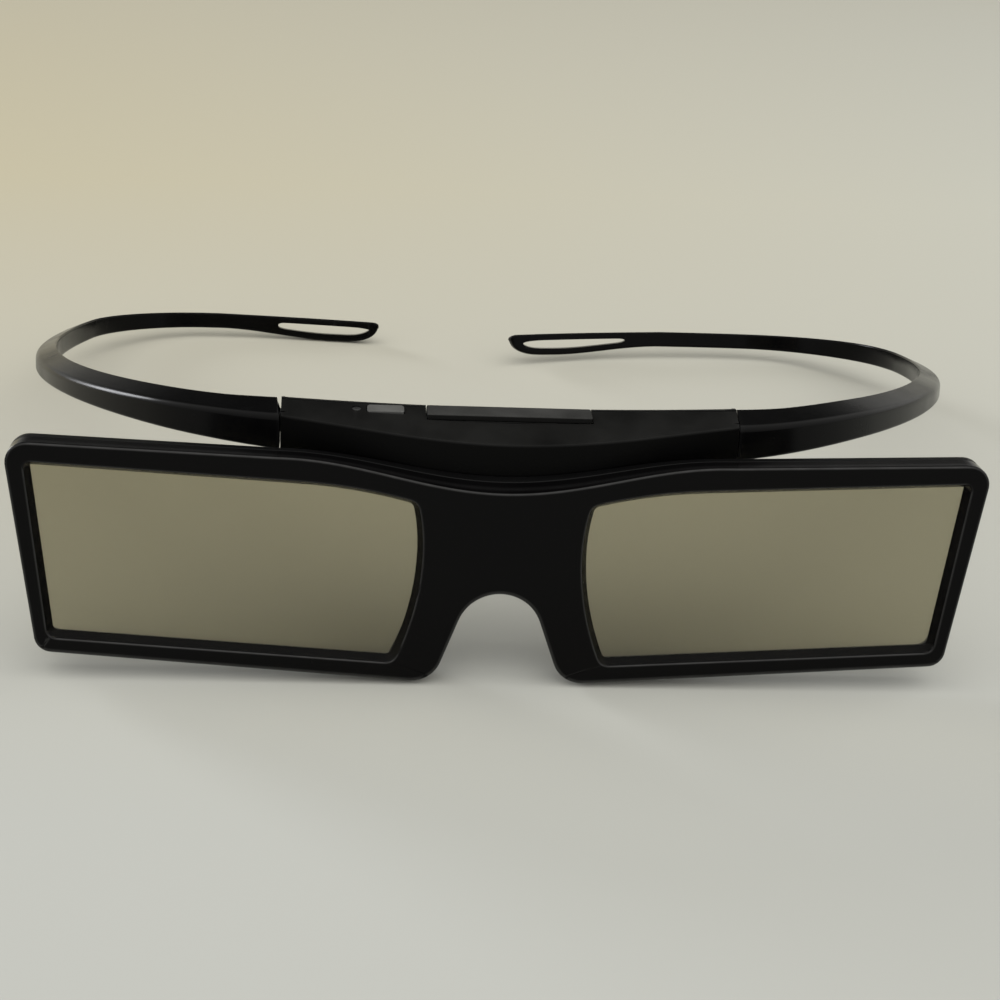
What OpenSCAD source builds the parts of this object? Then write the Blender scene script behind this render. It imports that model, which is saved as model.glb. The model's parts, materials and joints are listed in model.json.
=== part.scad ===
// Active shutter 3-D glasses: flat front frame, brow housing, slide-out coin cell and plug-in temples.
// Every piece is drawn in the lens frame: x to the right, y back from the front face, z up from the
// nose feet. The last step leans that frame back on the table, with the nose feet and temple tips down.

/* [Front frame] */
// Width across the top corners
frame_w = 156.6; // [154:0.2:160]
// Width across the bottom corners
frame_foot_w = 147.2; // [146:0.2:149]
// Height of the top corners above the nose feet
frame_end_h = 39; // [38.2:0.2:40]
// Height of the bottom corners above the nose feet
frame_foot_h = 4.1; // [3.6:0.1:4.6]
// Height of the top edge at its shoulders
shoulder_h = 37.5; // [37:0.1:38]
// Height of the top edge over the nose
bridge_h = 32.4; // [32:0.1:33.4]
// Half width of the dip in the top edge
dip_half = 36; // [34:0.5:38]
// Rise of the bridge's top edge from its front to its back
ramp_rise = 1.3; // [0.6:0.1:1.5]
// Rounding of the top outer corners
top_corner_r = 3.4; // [3:0.1:5]
// Rounding of the bottom outer corners
foot_corner_r = 2.8; // [2:0.1:3]
// How far the frame leans back as it stands
lean = 7; // [5:0.5:9]

/* [Nose arch] */
// Height of the top of the arch
arch_h = 15.7; // [14.5:0.1:16.4]
// Radius at the top of the arch
arch_r = 7.5; // [6.5:0.1:8.5]
// Flare of each side of the arch from upright, in degrees
arch_flare = 17.5; // [14:0.5:20]
// Rounding of the nose feet
nose_foot_r = 5; // [4:0.25:6]

/* [Lens windows] */
// Distance from the middle to the narrowest point of a window
window_in = 13.6; // [13.2:0.1:15]
// Distance from the middle to the top outer corner of a window
window_out = 74.1; // [72.5:0.1:74.2]
// How far the outer edge slopes in towards the bottom
window_slope = 3.1; // [2.7:0.1:3.4]
// Height of the top outer corner of a window
window_top_h = 34.9; // [34.4:0.1:35.3]
// Height of the bottom outer corner of a window
window_foot_h = 7.4; // [7.3:0.1:8.3]
// Height of the bottom inner corner of a window
window_nose_h = 4.1; // [4:0.1:5]
// Depth of the bevelled reveal in front of a lens
reveal = 1.7; // [1.4:0.1:2.2]
// Spread of the bevel at the front face
bevel = 0.9; // [0.5:0.1:1.2]
// Width of the rim that holds the lens edge
lens_rim = 1.4; // [1.3:0.1:1.5]
// Thickness of a lens
lens_t = 1.6; // [1.2:0.1:2]
// Thickness of a lens gasket
gasket_t = 0.3; // [0.2:0.05:0.5]
// Thickness of the rear half of the frame
rear_t = 2; // [1.6:0.1:2.6]

/* [Brow] */
// Half length of the brow, from its middle to a temple joint
brow_half = 37.2; // [37:0.2:39]
// How far the brow's middle sits to the right of the frame's middle
brow_shift = 1.4; // [-1.4:0.1:1.6]
// Height of the brow's back top edge at the middle
brow_top_h = 42.2; // [42:0.1:43]
// Rise of the back top edge towards the ends
brow_top_rise = 0.9; // [0.4:0.1:1.2]
// Height of the crease at the middle
crease_h = 38.7; // [38.4:0.1:39]
// Height of the crease at the ends
crease_end_h = 41.2; // [40.8:0.1:41.6]
// How far back the brow's face sweeps at its ends
brow_sweep = 5; // [4:0.25:5.5]
// Half width of the brow's flat face
brow_flat = 13; // [12.6:0.2:15]
// Wall of the brow housing
wall = 1.2; // [1:0.1:1.3]
// Thickness of the rear cover
cover_t = 1.2; // [1:0.1:1.6]

/* [Battery] */
// Diameter of the coin cell
cell_d = 20; // [18:0.5:20.5]
// Thickness of the coin cell
cell_t = 2.5; // [1.6:0.1:3]
// Width of the tray's lip
lip_w = 26.5; // [25:0.5:28]
// Height of the lip's front edge
lip_t = 0.85; // [0.7:0.05:1.2]
// Rise of the lip from its front to its back
lip_rise = 0.5; // [0.3:0.1:0.9]

/* [Temple section] */
// Height of a temple at its joint
joint_h = 7.6; // [7.2:0.1:7.8]
// Height of a temple beside the head
side_h = 4.6; // [4.2:0.1:5]
// Height of a temple behind the head
back_h = 3.4; // [3:0.1:3.8]
// How far the belly of the loop at a tip hangs below the temple
tip_belly = 1.6; // [1.2:0.1:2]
// How far the loop's top edge sags at its end
tip_sag = 0.7; // [0.4:0.1:1]
// Thickness of a temple beside the head
side_t = 3.9; // [3.4:0.1:4.2]
// Thickness of a temple behind the head
back_t = 2.1; // [1.8:0.1:2.5]
// Length of the slot in a tip's loop
slot_l = 22.5; // [16:0.5:24]
// Width of the bars above and below the slot
slot_bar = 1.2; // [1:0.05:1.4]
// Length of the tongue that plugs into the brow
tongue_l = 8; // [7:0.5:8]
// Gap left open at the left joint
left_gap = 0.4; // [0.15:0.05:1]
// Gap left open at the right joint
right_gap = 0.15; // [0.1:0.05:1]

/* [Left temple] */
// Distance from the brow's middle to the widest point
left_reach = 87.5; // [84:0.5:92]
// Radius of the bend next to the brow
left_front_r = 54; // [46:1:62]
// Radius of the bow beside the head
left_side_r = 148; // [100:2:200]
// Radius of the bend behind the head
left_rear_r = 28.5; // [24:0.5:31]
// Radius of the bow of the tip
left_tip_r = 230; // [215:5:245]
// Turn of the tip past the bend, in degrees
left_tip_turn = 9.3; // [8.7:0.1:9.9]
// Height of the loop above the table
left_lift = 0; // [0:0.1:3]

/* [Right temple] */
// Distance from the brow's middle to the widest point
right_reach = 96.6; // [92:0.5:98]
// Radius of the bend next to the brow
right_front_r = 68; // [60:1:74]
// Radius of the bow beside the head
right_side_r = 62; // [50:2:100]
// Radius of the bend behind the head
right_rear_r = 27; // [24:0.5:31]
// Radius of the bow of the tip
right_tip_r = 149; // [140:1:158]
// Turn of the tip past the bend, in degrees
right_tip_turn = 22.4; // [20.5:0.1:23.5]
// Height of the loop above the table
right_lift = 2; // [0:0.1:3]

/* [Power button] */
// Length of the button along the brow
button_l = 6; // [5:0.25:7]
// Depth of the button from front to back
button_d = 2; // [1.6:0.1:2.2]
// How far the button stands above the brow
button_proud = 0.3; // [0.2:0.05:0.5]
// Travel of the button
button_travel = 0.4; // [0.2:0.05:0.5]

/* [Hidden] */
$fn = 48;

// Overcut that keeps a cut from ending on a face
over = 0.5;
// Points on a rounded corner and on a curved edge
corner_n = 6;
edge_n = 10;

// Depths from the front face, each standing on the one before
front_t = reveal + lens_t + gasket_t;
frame_t = front_t + rear_t;
brow_in_y = frame_t + wall;
part_room = 1.8;
board_y = brow_in_y + part_room;
board_t = 0.8;
board_back = board_y + board_t;
contact_room = 1.9;
tray_y = board_back + contact_room;
tray_floor = 0.4;
tray_t = cell_t + tray_floor;
tray_back_clear = 0.25;
brow_back = tray_y + tray_t + tray_back_clear;
cover_back = brow_back + cover_t;

// Heights of the battery stack, from the lip down
lip_sink = 1.1;
lip_bottom = brow_top_h - lip_sink;
lip_seat_clear = 0.1;
lip_side_clear = 0.3;
lip_shift = -0.3;
lip_front_clear = 0.15;
tray_head = 0.5;
cell_clear = 0.15;
cell_rim = 1.6;
cell_step = 0.15;
cell_z = lip_bottom - tray_head - cell_clear - cell_d / 2;
tray_foot = 0.6;
tray_bottom = cell_z - cell_d / 2 - cell_clear - tray_foot;
tray_side = 1.1;
tray_w = cell_d + 2 * tray_side;
tray_clear = 0.15;
pocket_in = tray_w / 2 + tray_clear;
pocket_wall = 1.1;
pocket_half = pocket_in + pocket_wall;
pocket_foot_clear = 0.2;
pocket_floor = tray_bottom - pocket_foot_clear;
pocket_neck = 4;
pocket_lap = 3;
pocket_top = lip_bottom - pocket_neck;
board_room_top = pocket_top - pocket_lap;
rail_w = 0.8;
rail_t = 0.8;
rail_clear = 0.15;
lip_lead = 0.3;
lip_front = tray_y - lip_lead;
lip_back = cover_back - lip_lead;
lip_chamfer = 0.4;
window_hole_r = 5;

// Brow section at a distance x from the middle
brow_lap = 3.9;
brow_under_mid = bridge_h - brow_lap;
joint_top = brow_top_h + brow_top_rise;
joint_foot = joint_top - joint_h;
function dip(x) = (1 - cos(180 * min(abs(x) / dip_half, 1))) / 2;
function brow_face(x) = frame_t + brow_sweep * pow(max(abs(x) - brow_flat, 0) / (brow_half - brow_flat), 2);
function brow_crease(x) = crease_h + (crease_end_h - crease_h) * dip(x);
function brow_under(x) = brow_under_mid + (joint_foot - brow_under_mid) * pow(x / brow_half, 2);
function brow_top(x) = brow_top_h + brow_top_rise * pow(x / brow_half, 2);
function brow_facet(x, y) = let (
    rise = (brow_top(x) - brow_crease(x)) / (brow_back - brow_face(x))
) brow_crease(x) + rise * (y - brow_face(x));

// Joint at each end of the brow, and the tongue and socket inside it
joint_t = cover_back - brow_face(brow_half);
joint_y = (cover_back + brow_face(brow_half)) / 2;
joint_z = joint_top - joint_h / 2;
tongue_t = 2.4;
tongue_h = 3.4;
tongue_wall = 0.6;
tongue_y = brow_back - tongue_wall - tongue_t / 2;
tongue_rise = 0.6;
tongue_z = joint_z + tongue_rise;
tongue_root = 2;
socket_clear = 0.1;
socket_end = 0.6;
socket_l = tongue_l + socket_end;
socket_wall = 2;
cavity_half = brow_half - socket_l - socket_wall;

// Top edge of the frame at a distance x from the middle
top_slope = (frame_end_h - shoulder_h) / (frame_w / 2 - dip_half);
ramp_front = 0.8;
ramp_reach = 0.9;
ramp_root = 1;
function bridge_ramp(x, y) = ramp_rise * (1 - dip(x)) * (y - ramp_front) / (frame_t - ramp_front);
function frame_top(x) = bridge_h + (shoulder_h - bridge_h) * dip(x) + top_slope * max(abs(x) - dip_half, 0);

// A corner of an outline, rounded between the edges to the points before and after it
function unit(v) = v / norm(v);
function angle_of(v) = atan2(v[1], v[0]);
function short_turn(a) = a > 180 ? a - 360 : a < -180 ? a + 360 : a;
function rounded(before, at, after, r) = let (
    u = unit(before - at),
    w = unit(after - at),
    half = acos(u * w) / 2,
    centre = at + unit(u + w) * r / sin(half),
    start = angle_of(at + u * r / tan(half) - centre),
    turn = short_turn(angle_of(at + w * r / tan(half) - centre) - start)
) [for (i = [0 : corner_n]) let (a = start + turn * i / corner_n) centre + r * [cos(a), sin(a)]];

// Outline of the frame: arch, nose foot, bottom corner, top corner, then the top edge back to the middle
arch_centre = arch_h - arch_r;
arch_tangent = [arch_r * cos(arch_flare), arch_centre + arch_r * sin(arch_flare)];
foot_corner = [frame_foot_w / 2, frame_foot_h];
top_corner = [frame_w / 2, frame_end_h];
nose_sink = 0.3;
nose_foot = [arch_tangent[0] + (arch_tangent[1] + nose_sink) * tan(arch_flare), -nose_sink];
frame_half = concat(
    [for (i = [0 : corner_n]) let (a = 90 - (90 - arch_flare) * i / corner_n)
        [arch_r * cos(a), arch_centre + arch_r * sin(a)]],
    rounded(arch_tangent, nose_foot, foot_corner, nose_foot_r),
    rounded(nose_foot, foot_corner, top_corner, foot_corner_r),
    rounded(foot_corner, top_corner, [dip_half, shoulder_h], top_corner_r),
    [for (i = [edge_n : -1 : 0]) [dip_half * i / edge_n, frame_top(dip_half * i / edge_n)]]
);
frame_last = len(frame_half) - 1;
frame_outline = concat(
    frame_half,
    [for (i = [frame_last - 1 : -1 : 1]) [-frame_half[i][0], frame_half[i][1]]]
);

// Outline of the right lens window, moved outwards by m
window_mid_h = 22.5;
window_bow = 5.35;
window_bow_low = 4.4;
window_bow_h = 18;
window_corner = 0.8;
window_ease = 32;
window_fall = 2.1;
window_top_slope = 0.052;
function window_inner(z) = window_in
    + (z < window_mid_h ? window_bow_low : window_bow) * pow((z - window_mid_h) / window_bow_h, 2);
function window_top(x) = window_top_h - window_top_slope * (window_out - x)
    - window_fall * pow(max(window_ease - x, 0) / (window_ease - window_in), 2);
window_corner_x = window_inner(window_top(window_in + window_corner));
window_corner_h = window_top(window_corner_x);
function window_outline(m) = concat(
    [for (i = [0 : edge_n]) let (z = window_nose_h + (window_corner_h - window_nose_h) * i / edge_n)
        [window_inner(z) - m, z + m * (2 * i / edge_n - 1)]],
    [for (i = [1 : edge_n]) let (x = window_corner_x + (window_out - window_corner_x) * pow(i / edge_n, 2))
        [x + m * (2 * pow(i / edge_n, 2) - 1), window_top(x) + m]],
    [[window_out - window_slope + m, window_foot_h - m]]
);

// Fit of a lens in its rim, and the opening behind it
lens_clear = 0.1;
gasket_in = 0.5;
rear_bevel = 0.7;

// Lens leads and their connectors
flex_x = 17.75;
flex_w = 2.5;
flex_t = 0.2;
flex_lift = 0.7;
flex_z = window_top(flex_x) + flex_lift;
flex_clear = 0.25;
flex_connector = [4, 1, 1.4];
flex_connector_clear = 1.1;
flex_connector_out = flex_x + abs(brow_shift) + flex_connector[0] / 2;
flex_connector_z = brow_under(flex_connector_out) + wall + flex_connector_clear + flex_connector[2] / 2;
flex_run = flex_connector_z - flex_z;
flex_end_y = board_y - flex_connector[1] / 2;

// Control board: a stem down the bridge and a bar along the brow
board_clear = 0.6;
board_top = min(brow_facet(0, board_y), brow_facet(0, board_back)) - wall - board_clear;
board_bar_half = cavity_half - board_clear;
board_bar_h = 4.2;
stem_clear = 0.3;
board_stem_half = pocket_in - rail_w - stem_clear;
board_h = 18.2;
board_foot = board_top - board_h;
board_foot_clear = 0.4;
board_floor = board_foot - board_foot_clear;
pocket_bottom = min(pocket_floor, board_floor) - pocket_wall;

// Parts on the front of the board: [size, place along the brow, drop from the board's top to their foot]
radio_can_at = [[9, 1.4, 6.5], 0.5, 14.1];
controller_chip_at = [[5, 0.9, 5], -3.5, 6.8];
boost_coil_at = [[3, 1.3, 3], 5.5, 6.3];
crystal_at = [[3.2, 0.8, 2], 0.5, 16.6];
chip_antenna_at = [[5, 0.9, 1.6], 11, 2.4];

// Leaf contacts on the back of the board: one at the cell's middle, and one at its edge
contact_t = 0.2;
contact_gap = 0.1;
contact_arm = 5;
contact_foot = 2.4;
contact_tail = 2.4;
contact_dip = 0.6;
contact_w = 3;
contact_edge = 0.8;
contact_edge_w = 1.2;

// Screws: [shank radius, head radius, head height]
cover_screw = [0.8, 1.4, 0.8];
cover_screw_edge = 7.2;
cover_screw_rise = 2.1;
cover_screw_x = brow_half - cover_screw_edge;
cover_screw_z = brow_under(cover_screw_x) + cover_screw_rise;
cover_screw_l = 4.5;
bridge_screw = [0.8, 1.4, 0.8];
bridge_screw_x = 8.6;
bridge_screw_drop = 4.5;
bridge_screw_bite = 2.2;
bridge_screw_z = bridge_h - bridge_screw_drop;
bridge_screw_l = wall + rear_t + bridge_screw_bite;
board_screw = [0.6, 1.1, 0.6];
board_screw_x = 8;
board_screw_rise = 2;
board_screw_tip = 0.4;
board_screw_z = board_foot + board_screw_rise;
board_screw_l = board_t + part_room - board_screw_tip;
board_post_r = 1.5;
cross_r = 0.75;
cross_w = 0.3;

// Power button, its switch, the indicator and its light pipe
led_edge = 0.9;
led_x = led_edge - board_bar_half;
led_pitch = 4.7;
button_x = led_x + led_pitch;
button_edge = 0.65;
button_y = brow_back - button_edge - button_d / 2;
button_clear = 0.12;
button_hole_h = 8;
button_flange = 0.5;
button_flange_t = 0.5;
button_roof_clear = 0.2;
switch_clear = 0.5;
switch_size = [4.4, brow_back - board_back - switch_clear, 2.6];
plunger_r = 0.8;
plunger_h = 0.5;
button_slack = 0.05;
button_stem = 0.8;
button_front = button_y - button_d / 2;
button_back = button_y + button_d / 2;
button_roof = min(brow_facet(button_x, button_front), brow_facet(button_x, button_back)) - wall;
button_flange_z = button_roof - button_roof_clear - button_flange_t;
button_foot = button_flange_z - button_stem;
switch_top = button_foot - button_slack - button_travel - plunger_h;
led_size = [1.6, 1, 0.8];
led_drop = 1.6;
led_z = board_top - led_drop;
pipe_r = 0.7;
pipe_y = button_y;
pipe_clear = 0.05;

// Temple plan: tangent arcs from the joint to the tip, in the hoop's own sloping plane. Each temple is
// given by its front radius, reach, side radius, rear radius, tip radius, tip turn and lift.
left_plan = [left_front_r, left_reach, left_side_r, left_rear_r, left_tip_r, left_tip_turn, left_lift];
right_plan = [right_front_r, right_reach, right_side_r, right_rear_r, right_tip_r, right_tip_turn,
    right_lift];
heading_0 = atan(2 * brow_sweep / (brow_half - brow_flat));
heading_1 = 50;
heading_2 = 90;
heading_3 = 102;
heading_4 = 178;
function arc_end(start, h0, h1, r) = start + r * [sin(h1) - sin(h0), cos(h0) - cos(h1)];
// Arcs of a plan: [start, heading at the start, heading at the end, radius, steps]
function plan_arcs(plan) = let (
    p0 = [brow_half, 0],
    p1 = arc_end(p0, heading_0, heading_1, plan[0]),
    flank_r = (plan[1] - side_t / 2 - p1[0]) / (1 - sin(heading_1)),
    p2 = arc_end(p1, heading_1, heading_2, flank_r),
    p3 = arc_end(p2, heading_2, heading_3, plan[2]),
    p4 = arc_end(p3, heading_3, heading_4, plan[3])
) [
    [p0, heading_0, heading_1, plan[0], 8],
    [p1, heading_1, heading_2, flank_r, 16],
    [p2, heading_2, heading_3, plan[2], 6],
    [p3, heading_3, heading_4, plan[3], 16],
    [p4, heading_4, heading_4 + plan[5], plan[4], 24]
];
function arc_length(a) = (a[2] - a[1]) * PI / 180 * a[3];
function run_before(arcs, n) = n == 0 ? 0 : run_before(arcs, n - 1) + arc_length(arcs[n - 1]);
function plan_tip(arcs) = let (a = arcs[4]) arc_end(a[0], a[1], a[2], a[3]);
// Stations along the plan: [point, heading, run], closer together towards the tip
function plan_stations(arcs) = concat(
    [for (n = [0 : 4]) let (a = arcs[n]) for (i = [0 : a[4] - 1]) let (
        share = n == 4 ? 1 - pow(1 - i / a[4], 2) : i / a[4],
        h = a[1] + (a[2] - a[1]) * share
    ) [arc_end(a[0], a[1], h, a[3]), h, run_before(arcs, n) + arc_length(a) * share]],
    [[plan_tip(arcs), arcs[4][2], run_before(arcs, 5)]]
);

// How a temple's section changes along its run s, by its marks: [side run, back run, length]
function ease(a) = let (t = min(max(a, 0), 1)) t * t * (3 - 2 * t);
loop_lead = 14;
loop_blend = 26;
slot_end = 2.8;
slot_steps = 24;
slot_square = 20;
tip_round = 8;
tip_blunt = 0.3;
tip_square = 2.6;
side_ease = 1.35;
joint_blend = 14;
section_edge = 0.45;
crease_side_fade = 0.5;
crease_back_fade = 0.7;
function plan_marks(arcs) = [run_before(arcs, 2), run_before(arcs, 4), run_before(arcs, 5)];
function in_loop(s, m) = ease((s - m[2] + slot_l + loop_lead) / loop_blend);
function to_side(s, m) = 1 - pow(1 - min(s / m[0], 1), side_ease);
function to_back(s, m) = ease((s - m[0]) / (m[1] - m[0]));
function tip_end(s, m) = s <= m[2] - tip_round ? 1
    : max(pow(max(1 - pow((s - m[2] + tip_round) / tip_round, tip_square), 0), 1 / tip_square), tip_blunt);
function bar_h(s, m) = joint_h + (side_h - joint_h) * to_side(s, m) + (back_h - side_h) * to_back(s, m);
function temple_top(s, m) = bar_h(s, m) / 2
    - tip_sag * max(s - m[2] + slot_l + loop_lead, 0) / (slot_l + loop_lead);
function temple_h(s, m) = tip_end(s, m) * (bar_h(s, m) / 2 + temple_top(s, m) + tip_belly * in_loop(s, m));
function temple_mid(s, m) = temple_top(s, m) - temple_h(s, m) / 2;
function temple_t(s, m) = joint_t + (side_t - joint_t) * min(s / m[0], 1) + (back_t - side_t) * to_back(s, m);
function temple_crease(s, m) = (joint_top - crease_end_h)
    * (1 - crease_side_fade * to_side(s, m)) * (1 - crease_back_fade * to_back(s, m));

// Section of a temple as [outwards, upwards] points, with its edges eased
function temple_section(s, m) = let (
    h = temple_h(s, m) / 2,
    t = temple_t(s, m) / 2,
    c = temple_crease(s, m),
    e = min(section_edge, t / 3, h / 3)
) [[t, -h + e], [t, h - c], [t - e, h - c * (1 - e / t)], [-t + e, h], [-t, h - e], [-t, -h + e],
    [-t + e, -h], [t - e, -h]];

// Slope of a temple's plane below the lens frame's level, so that its lowest point comes down to its lift
floor_lift = frame_t * sin(lean);
joint_above = floor_lift + joint_z * cos(lean) - joint_y * sin(lean);
function hoop_pitch(arcs, lift) = let (m = plan_marks(arcs)) min([
    for (st = plan_stations(arcs)) if (st[2] > m[0]) let (
        low = temple_h(st[2], m) - temple_top(st[2], m),
        back = st[0][1] - (temple_t(st[2], m) / 2 - section_edge) * cos(st[1])
    ) asin((joint_above - lift) / norm([back, low])) - atan(low / back)
]) - lean;
function temple_ring(st, m, pitch) = let (
    s = st[2],
    blend = ease(s / joint_blend),
    turn = st[1] * blend,
    tilt = pitch * blend,
    y = joint_y + st[0][1] * cos(pitch),
    z = joint_z - st[0][1] * sin(pitch) + temple_mid(s, m)
) [for (p = temple_section(s, m)) let (side = p[0] * sin(turn), back = -p[0] * cos(turn))
    [st[0][0] + side, y + back * cos(tilt) + p[1] * sin(tilt), z - back * sin(tilt) + p[1] * cos(tilt)]];
function temple_rings(plan) = let (
    arcs = plan_arcs(plan),
    m = plan_marks(arcs),
    pitch = hoop_pitch(arcs, plan[6])
) [for (st = plan_stations(arcs)) temple_ring(st, m, pitch)];
left_rings = temple_rings(left_plan);
right_rings = temple_rings(right_plan);

// The whole part's reach on the table, for an origin at the middle of its footprint
hoop_back = max([
    for (ring = concat(left_rings, right_rings)) for (p = ring) p[1] * cos(lean) + p[2] * sin(lean)
]);
hoop_left = max([for (ring = left_rings) for (p = ring) p[0]]) + left_gap - brow_shift;
hoop_right = max([for (ring = right_rings) for (p = ring) p[0]]) + right_gap + brow_shift;

// Leans a piece back from the lens frame and stands it on the table
module stand() {
    translate([(hoop_left - hoop_right) / 2, -hoop_back / 2, floor_lift]) rotate([-lean, 0, 0]) children();
}

// The same for a piece that belongs to the brow, drawn about the brow's middle
module on_brow() {
    stand() translate([brow_shift, 0, 0]) children();
}

// A plate of an outline in x and z, from depth y over a thickness t
module plate(outline, y, t) {
    translate([0, y + t, 0]) rotate([90, 0, 0]) linear_extrude(t) polygon(outline);
}

// A bar of a section in y and z, over the length l centred on x
module bar(section, x, l) {
    translate([x - l / 2, 0, 0]) rotate([90, 0, 90]) linear_extrude(l) polygon(section);
}

// A block of a size, centred on x and standing on y and z
module block(size, x, y, z) {
    translate([x - size[0] / 2, y, z]) cube(size);
}

// A round bar along y, from depth y over a length l
module rod(r, x, y, z, l) {
    translate([x, y, z]) rotate([-90, 0, 0]) cylinder(h = l, r = r);
}

// A closed skin over a row of rings that have equal numbers of points
module loft(rings) {
    n = len(rings[0]);
    last = len(rings) - 1;
    sides = [for (k = [0 : last - 1]) for (i = [0 : n - 1]) let (j = (i + 1) % n)
        [k * n + i, k * n + j, (k + 1) * n + j, (k + 1) * n + i]];
    ends = [[for (i = [n - 1 : -1 : 0]) i], [for (i = [0 : n - 1]) last * n + i]];
    polyhedron([for (ring = rings) for (p = ring) p], concat(sides, ends), convexity = 6);
}

module each_side() {
    children();
    mirror([1, 0, 0]) children();
}

// A window whose outline grows by m0 at depth y0 and by m1 at depth y1, cut a little past the face at y1
module bevelled_window(y0, m0, y1, m1) {
    past = 1 + over / abs(y1 - y0);
    inner = window_outline(m0);
    outer = window_outline(m0 + (m1 - m0) * past);
    near = [for (p = inner) [p[0], y0, p[1]]];
    far = [for (p = outer) [p[0], y0 + (y1 - y0) * past, p[1]]];
    loft(y1 < y0 ? [near, far] : [far, near]);
}

// The ramp on the bridge's top edge, between two depths
module ramp(y0, y1) {
    loft([for (i = [-edge_n : edge_n]) let (x = ramp_reach * dip_half * i / edge_n, z = frame_top(x))
        [[x, y0, z - ramp_root], [x, y0, z + bridge_ramp(x, y0)], [x, y1, z + bridge_ramp(x, y1)],
        [x, y1, z - ramp_root]]]);
}

module front_frame() {
    color([0.05, 0.05, 0.06]) stand() difference() {
        union() {
            plate(frame_outline, 0, front_t);
            ramp(ramp_front, front_t);
        }
        each_side() bevelled_window(reveal, 0, 0, bevel);
        each_side() plate(window_outline(lens_rim), reveal, front_t);
        translate([brow_shift, 0, 0]) each_side()
            rod(bridge_screw[0], bridge_screw_x, brow_in_y - bridge_screw_l, bridge_screw_z, bridge_screw_l);
    }
}

module rear_frame() {
    color([0.06, 0.06, 0.065]) stand() difference() {
        union() {
            plate(frame_outline, front_t, rear_t);
            ramp(front_t, frame_t);
        }
        each_side() bevelled_window(front_t - over, gasket_in, frame_t, gasket_in + rear_bevel);
        each_side() block([flex_w + 2 * flex_clear, rear_t + 2 * over, flex_t + 2 * flex_clear],
            flex_x, front_t - over, flex_z - flex_clear);
        translate([brow_shift, 0, 0]) each_side()
            rod(bridge_screw[0], bridge_screw_x, front_t - over, bridge_screw_z, rear_t + 2 * over);
    }
}

module lens() {
    color([0.47, 0.45, 0.36, 0.5]) plate(window_outline(lens_rim - lens_clear), reveal, lens_t);
}

module lens_right() {
    stand() lens();
}

module lens_left() {
    stand() mirror([1, 0, 0]) lens();
}

module lens_gasket() {
    color([0.12, 0.12, 0.12]) difference() {
        plate(window_outline(lens_rim - lens_clear), reveal + lens_t, gasket_t);
        plate(window_outline(gasket_in), reveal + lens_t - over, gasket_t + 2 * over);
        block([flex_w + 2 * flex_clear, gasket_t + 2 * over, lens_rim + 2], flex_x, reveal + lens_t - over,
            flex_z - flex_clear);
    }
}

module lens_gasket_right() {
    stand() lens_gasket();
}

module lens_gasket_left() {
    stand() mirror([1, 0, 0]) lens_gasket();
}

module lens_flex() {
    bend = flex_end_y - flex_t;
    color([0.75, 0.5, 0.2]) bar([
        [reveal + lens_t, flex_z], [flex_end_y, flex_z], [flex_end_y, flex_connector_z],
        [bend, flex_connector_z], [bend, flex_z + flex_t], [reveal + lens_t, flex_z + flex_t]
    ], flex_x, flex_w);
}

module lens_flex_right() {
    stand() lens_flex();
}

module lens_flex_left() {
    stand() mirror([1, 0, 0]) lens_flex();
}

// Brow body over its length, shrunk by a wall all round and left long at the back, out to x = reach
module brow_body(shrink, reach) {
    steps = 26;
    loft([for (i = [0 : steps]) let (
        x = -reach + 2 * reach * i / steps,
        face = brow_face(x) + shrink,
        under = brow_under(x) + shrink,
        back = brow_back + over + cos(90 * x / reach)
    ) [[x, face, under], [x, face, brow_facet(x, face) - shrink], [x, back, brow_facet(x, back) - shrink],
        [x, back, under]]]);
}

module lip_seat() {
    block([lip_w + 2 * lip_side_clear, cover_back, brow_top_h], lip_shift, lip_front - lip_front_clear,
        lip_bottom - lip_seat_clear);
}

module brow_housing() {
    color([0.05, 0.05, 0.055]) on_brow() {
        difference() {
            union() {
                difference() {
                    brow_body(0, brow_half);
                    block([3 * brow_half, brow_back, 2 * brow_top_h], 0, brow_back, 0);
                }
                block([2 * pocket_half, brow_back - frame_t, pocket_top - pocket_bottom], 0, frame_t,
                    pocket_bottom);
            }
            brow_body(wall, cavity_half);
            block([2 * pocket_in, tray_y - rail_clear - brow_in_y + over, board_room_top - board_floor], 0,
                brow_in_y, board_floor);
            block([2 * pocket_in, brow_back, brow_top_h], 0, tray_y - rail_clear, pocket_floor);
            lip_seat();
            each_side() block([2 * socket_l, tongue_t + 2 * socket_clear, tongue_h + 2 * socket_clear],
                brow_half, tongue_y - tongue_t / 2 - socket_clear, tongue_z - tongue_h / 2 - socket_clear);
            translate([-brow_shift, 0, 0]) each_side()
                block([flex_w + 2 * flex_clear, flex_end_y + flex_clear - frame_t + over, flex_run], flex_x,
                    frame_t - over, flex_z - flex_clear);
            each_side() rod(bridge_screw[0], bridge_screw_x, frame_t - over, bridge_screw_z, wall + 2 * over);
            each_side() rod(cover_screw[0], cover_screw_x, cover_back - cover_screw_l, cover_screw_z,
                cover_screw_l);
            block([button_l + 2 * button_clear, button_d + 2 * button_clear, button_hole_h], button_x,
                button_front - button_clear, joint_top - button_hole_h / 2);
            translate([led_x, pipe_y, led_z]) cylinder(h = joint_top - led_z, r = pipe_r + pipe_clear);
        }
        each_side() block([rail_w, rail_t, pocket_top - pocket_floor], pocket_in - rail_w / 2,
            tray_y - rail_clear - rail_t, pocket_floor);
        each_side() difference() {
            rod(board_post_r, board_screw_x, brow_in_y, board_screw_z, part_room);
            rod(board_screw[0], board_screw_x, board_back - board_screw_l, board_screw_z, board_screw_l);
        }
    }
}

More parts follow.
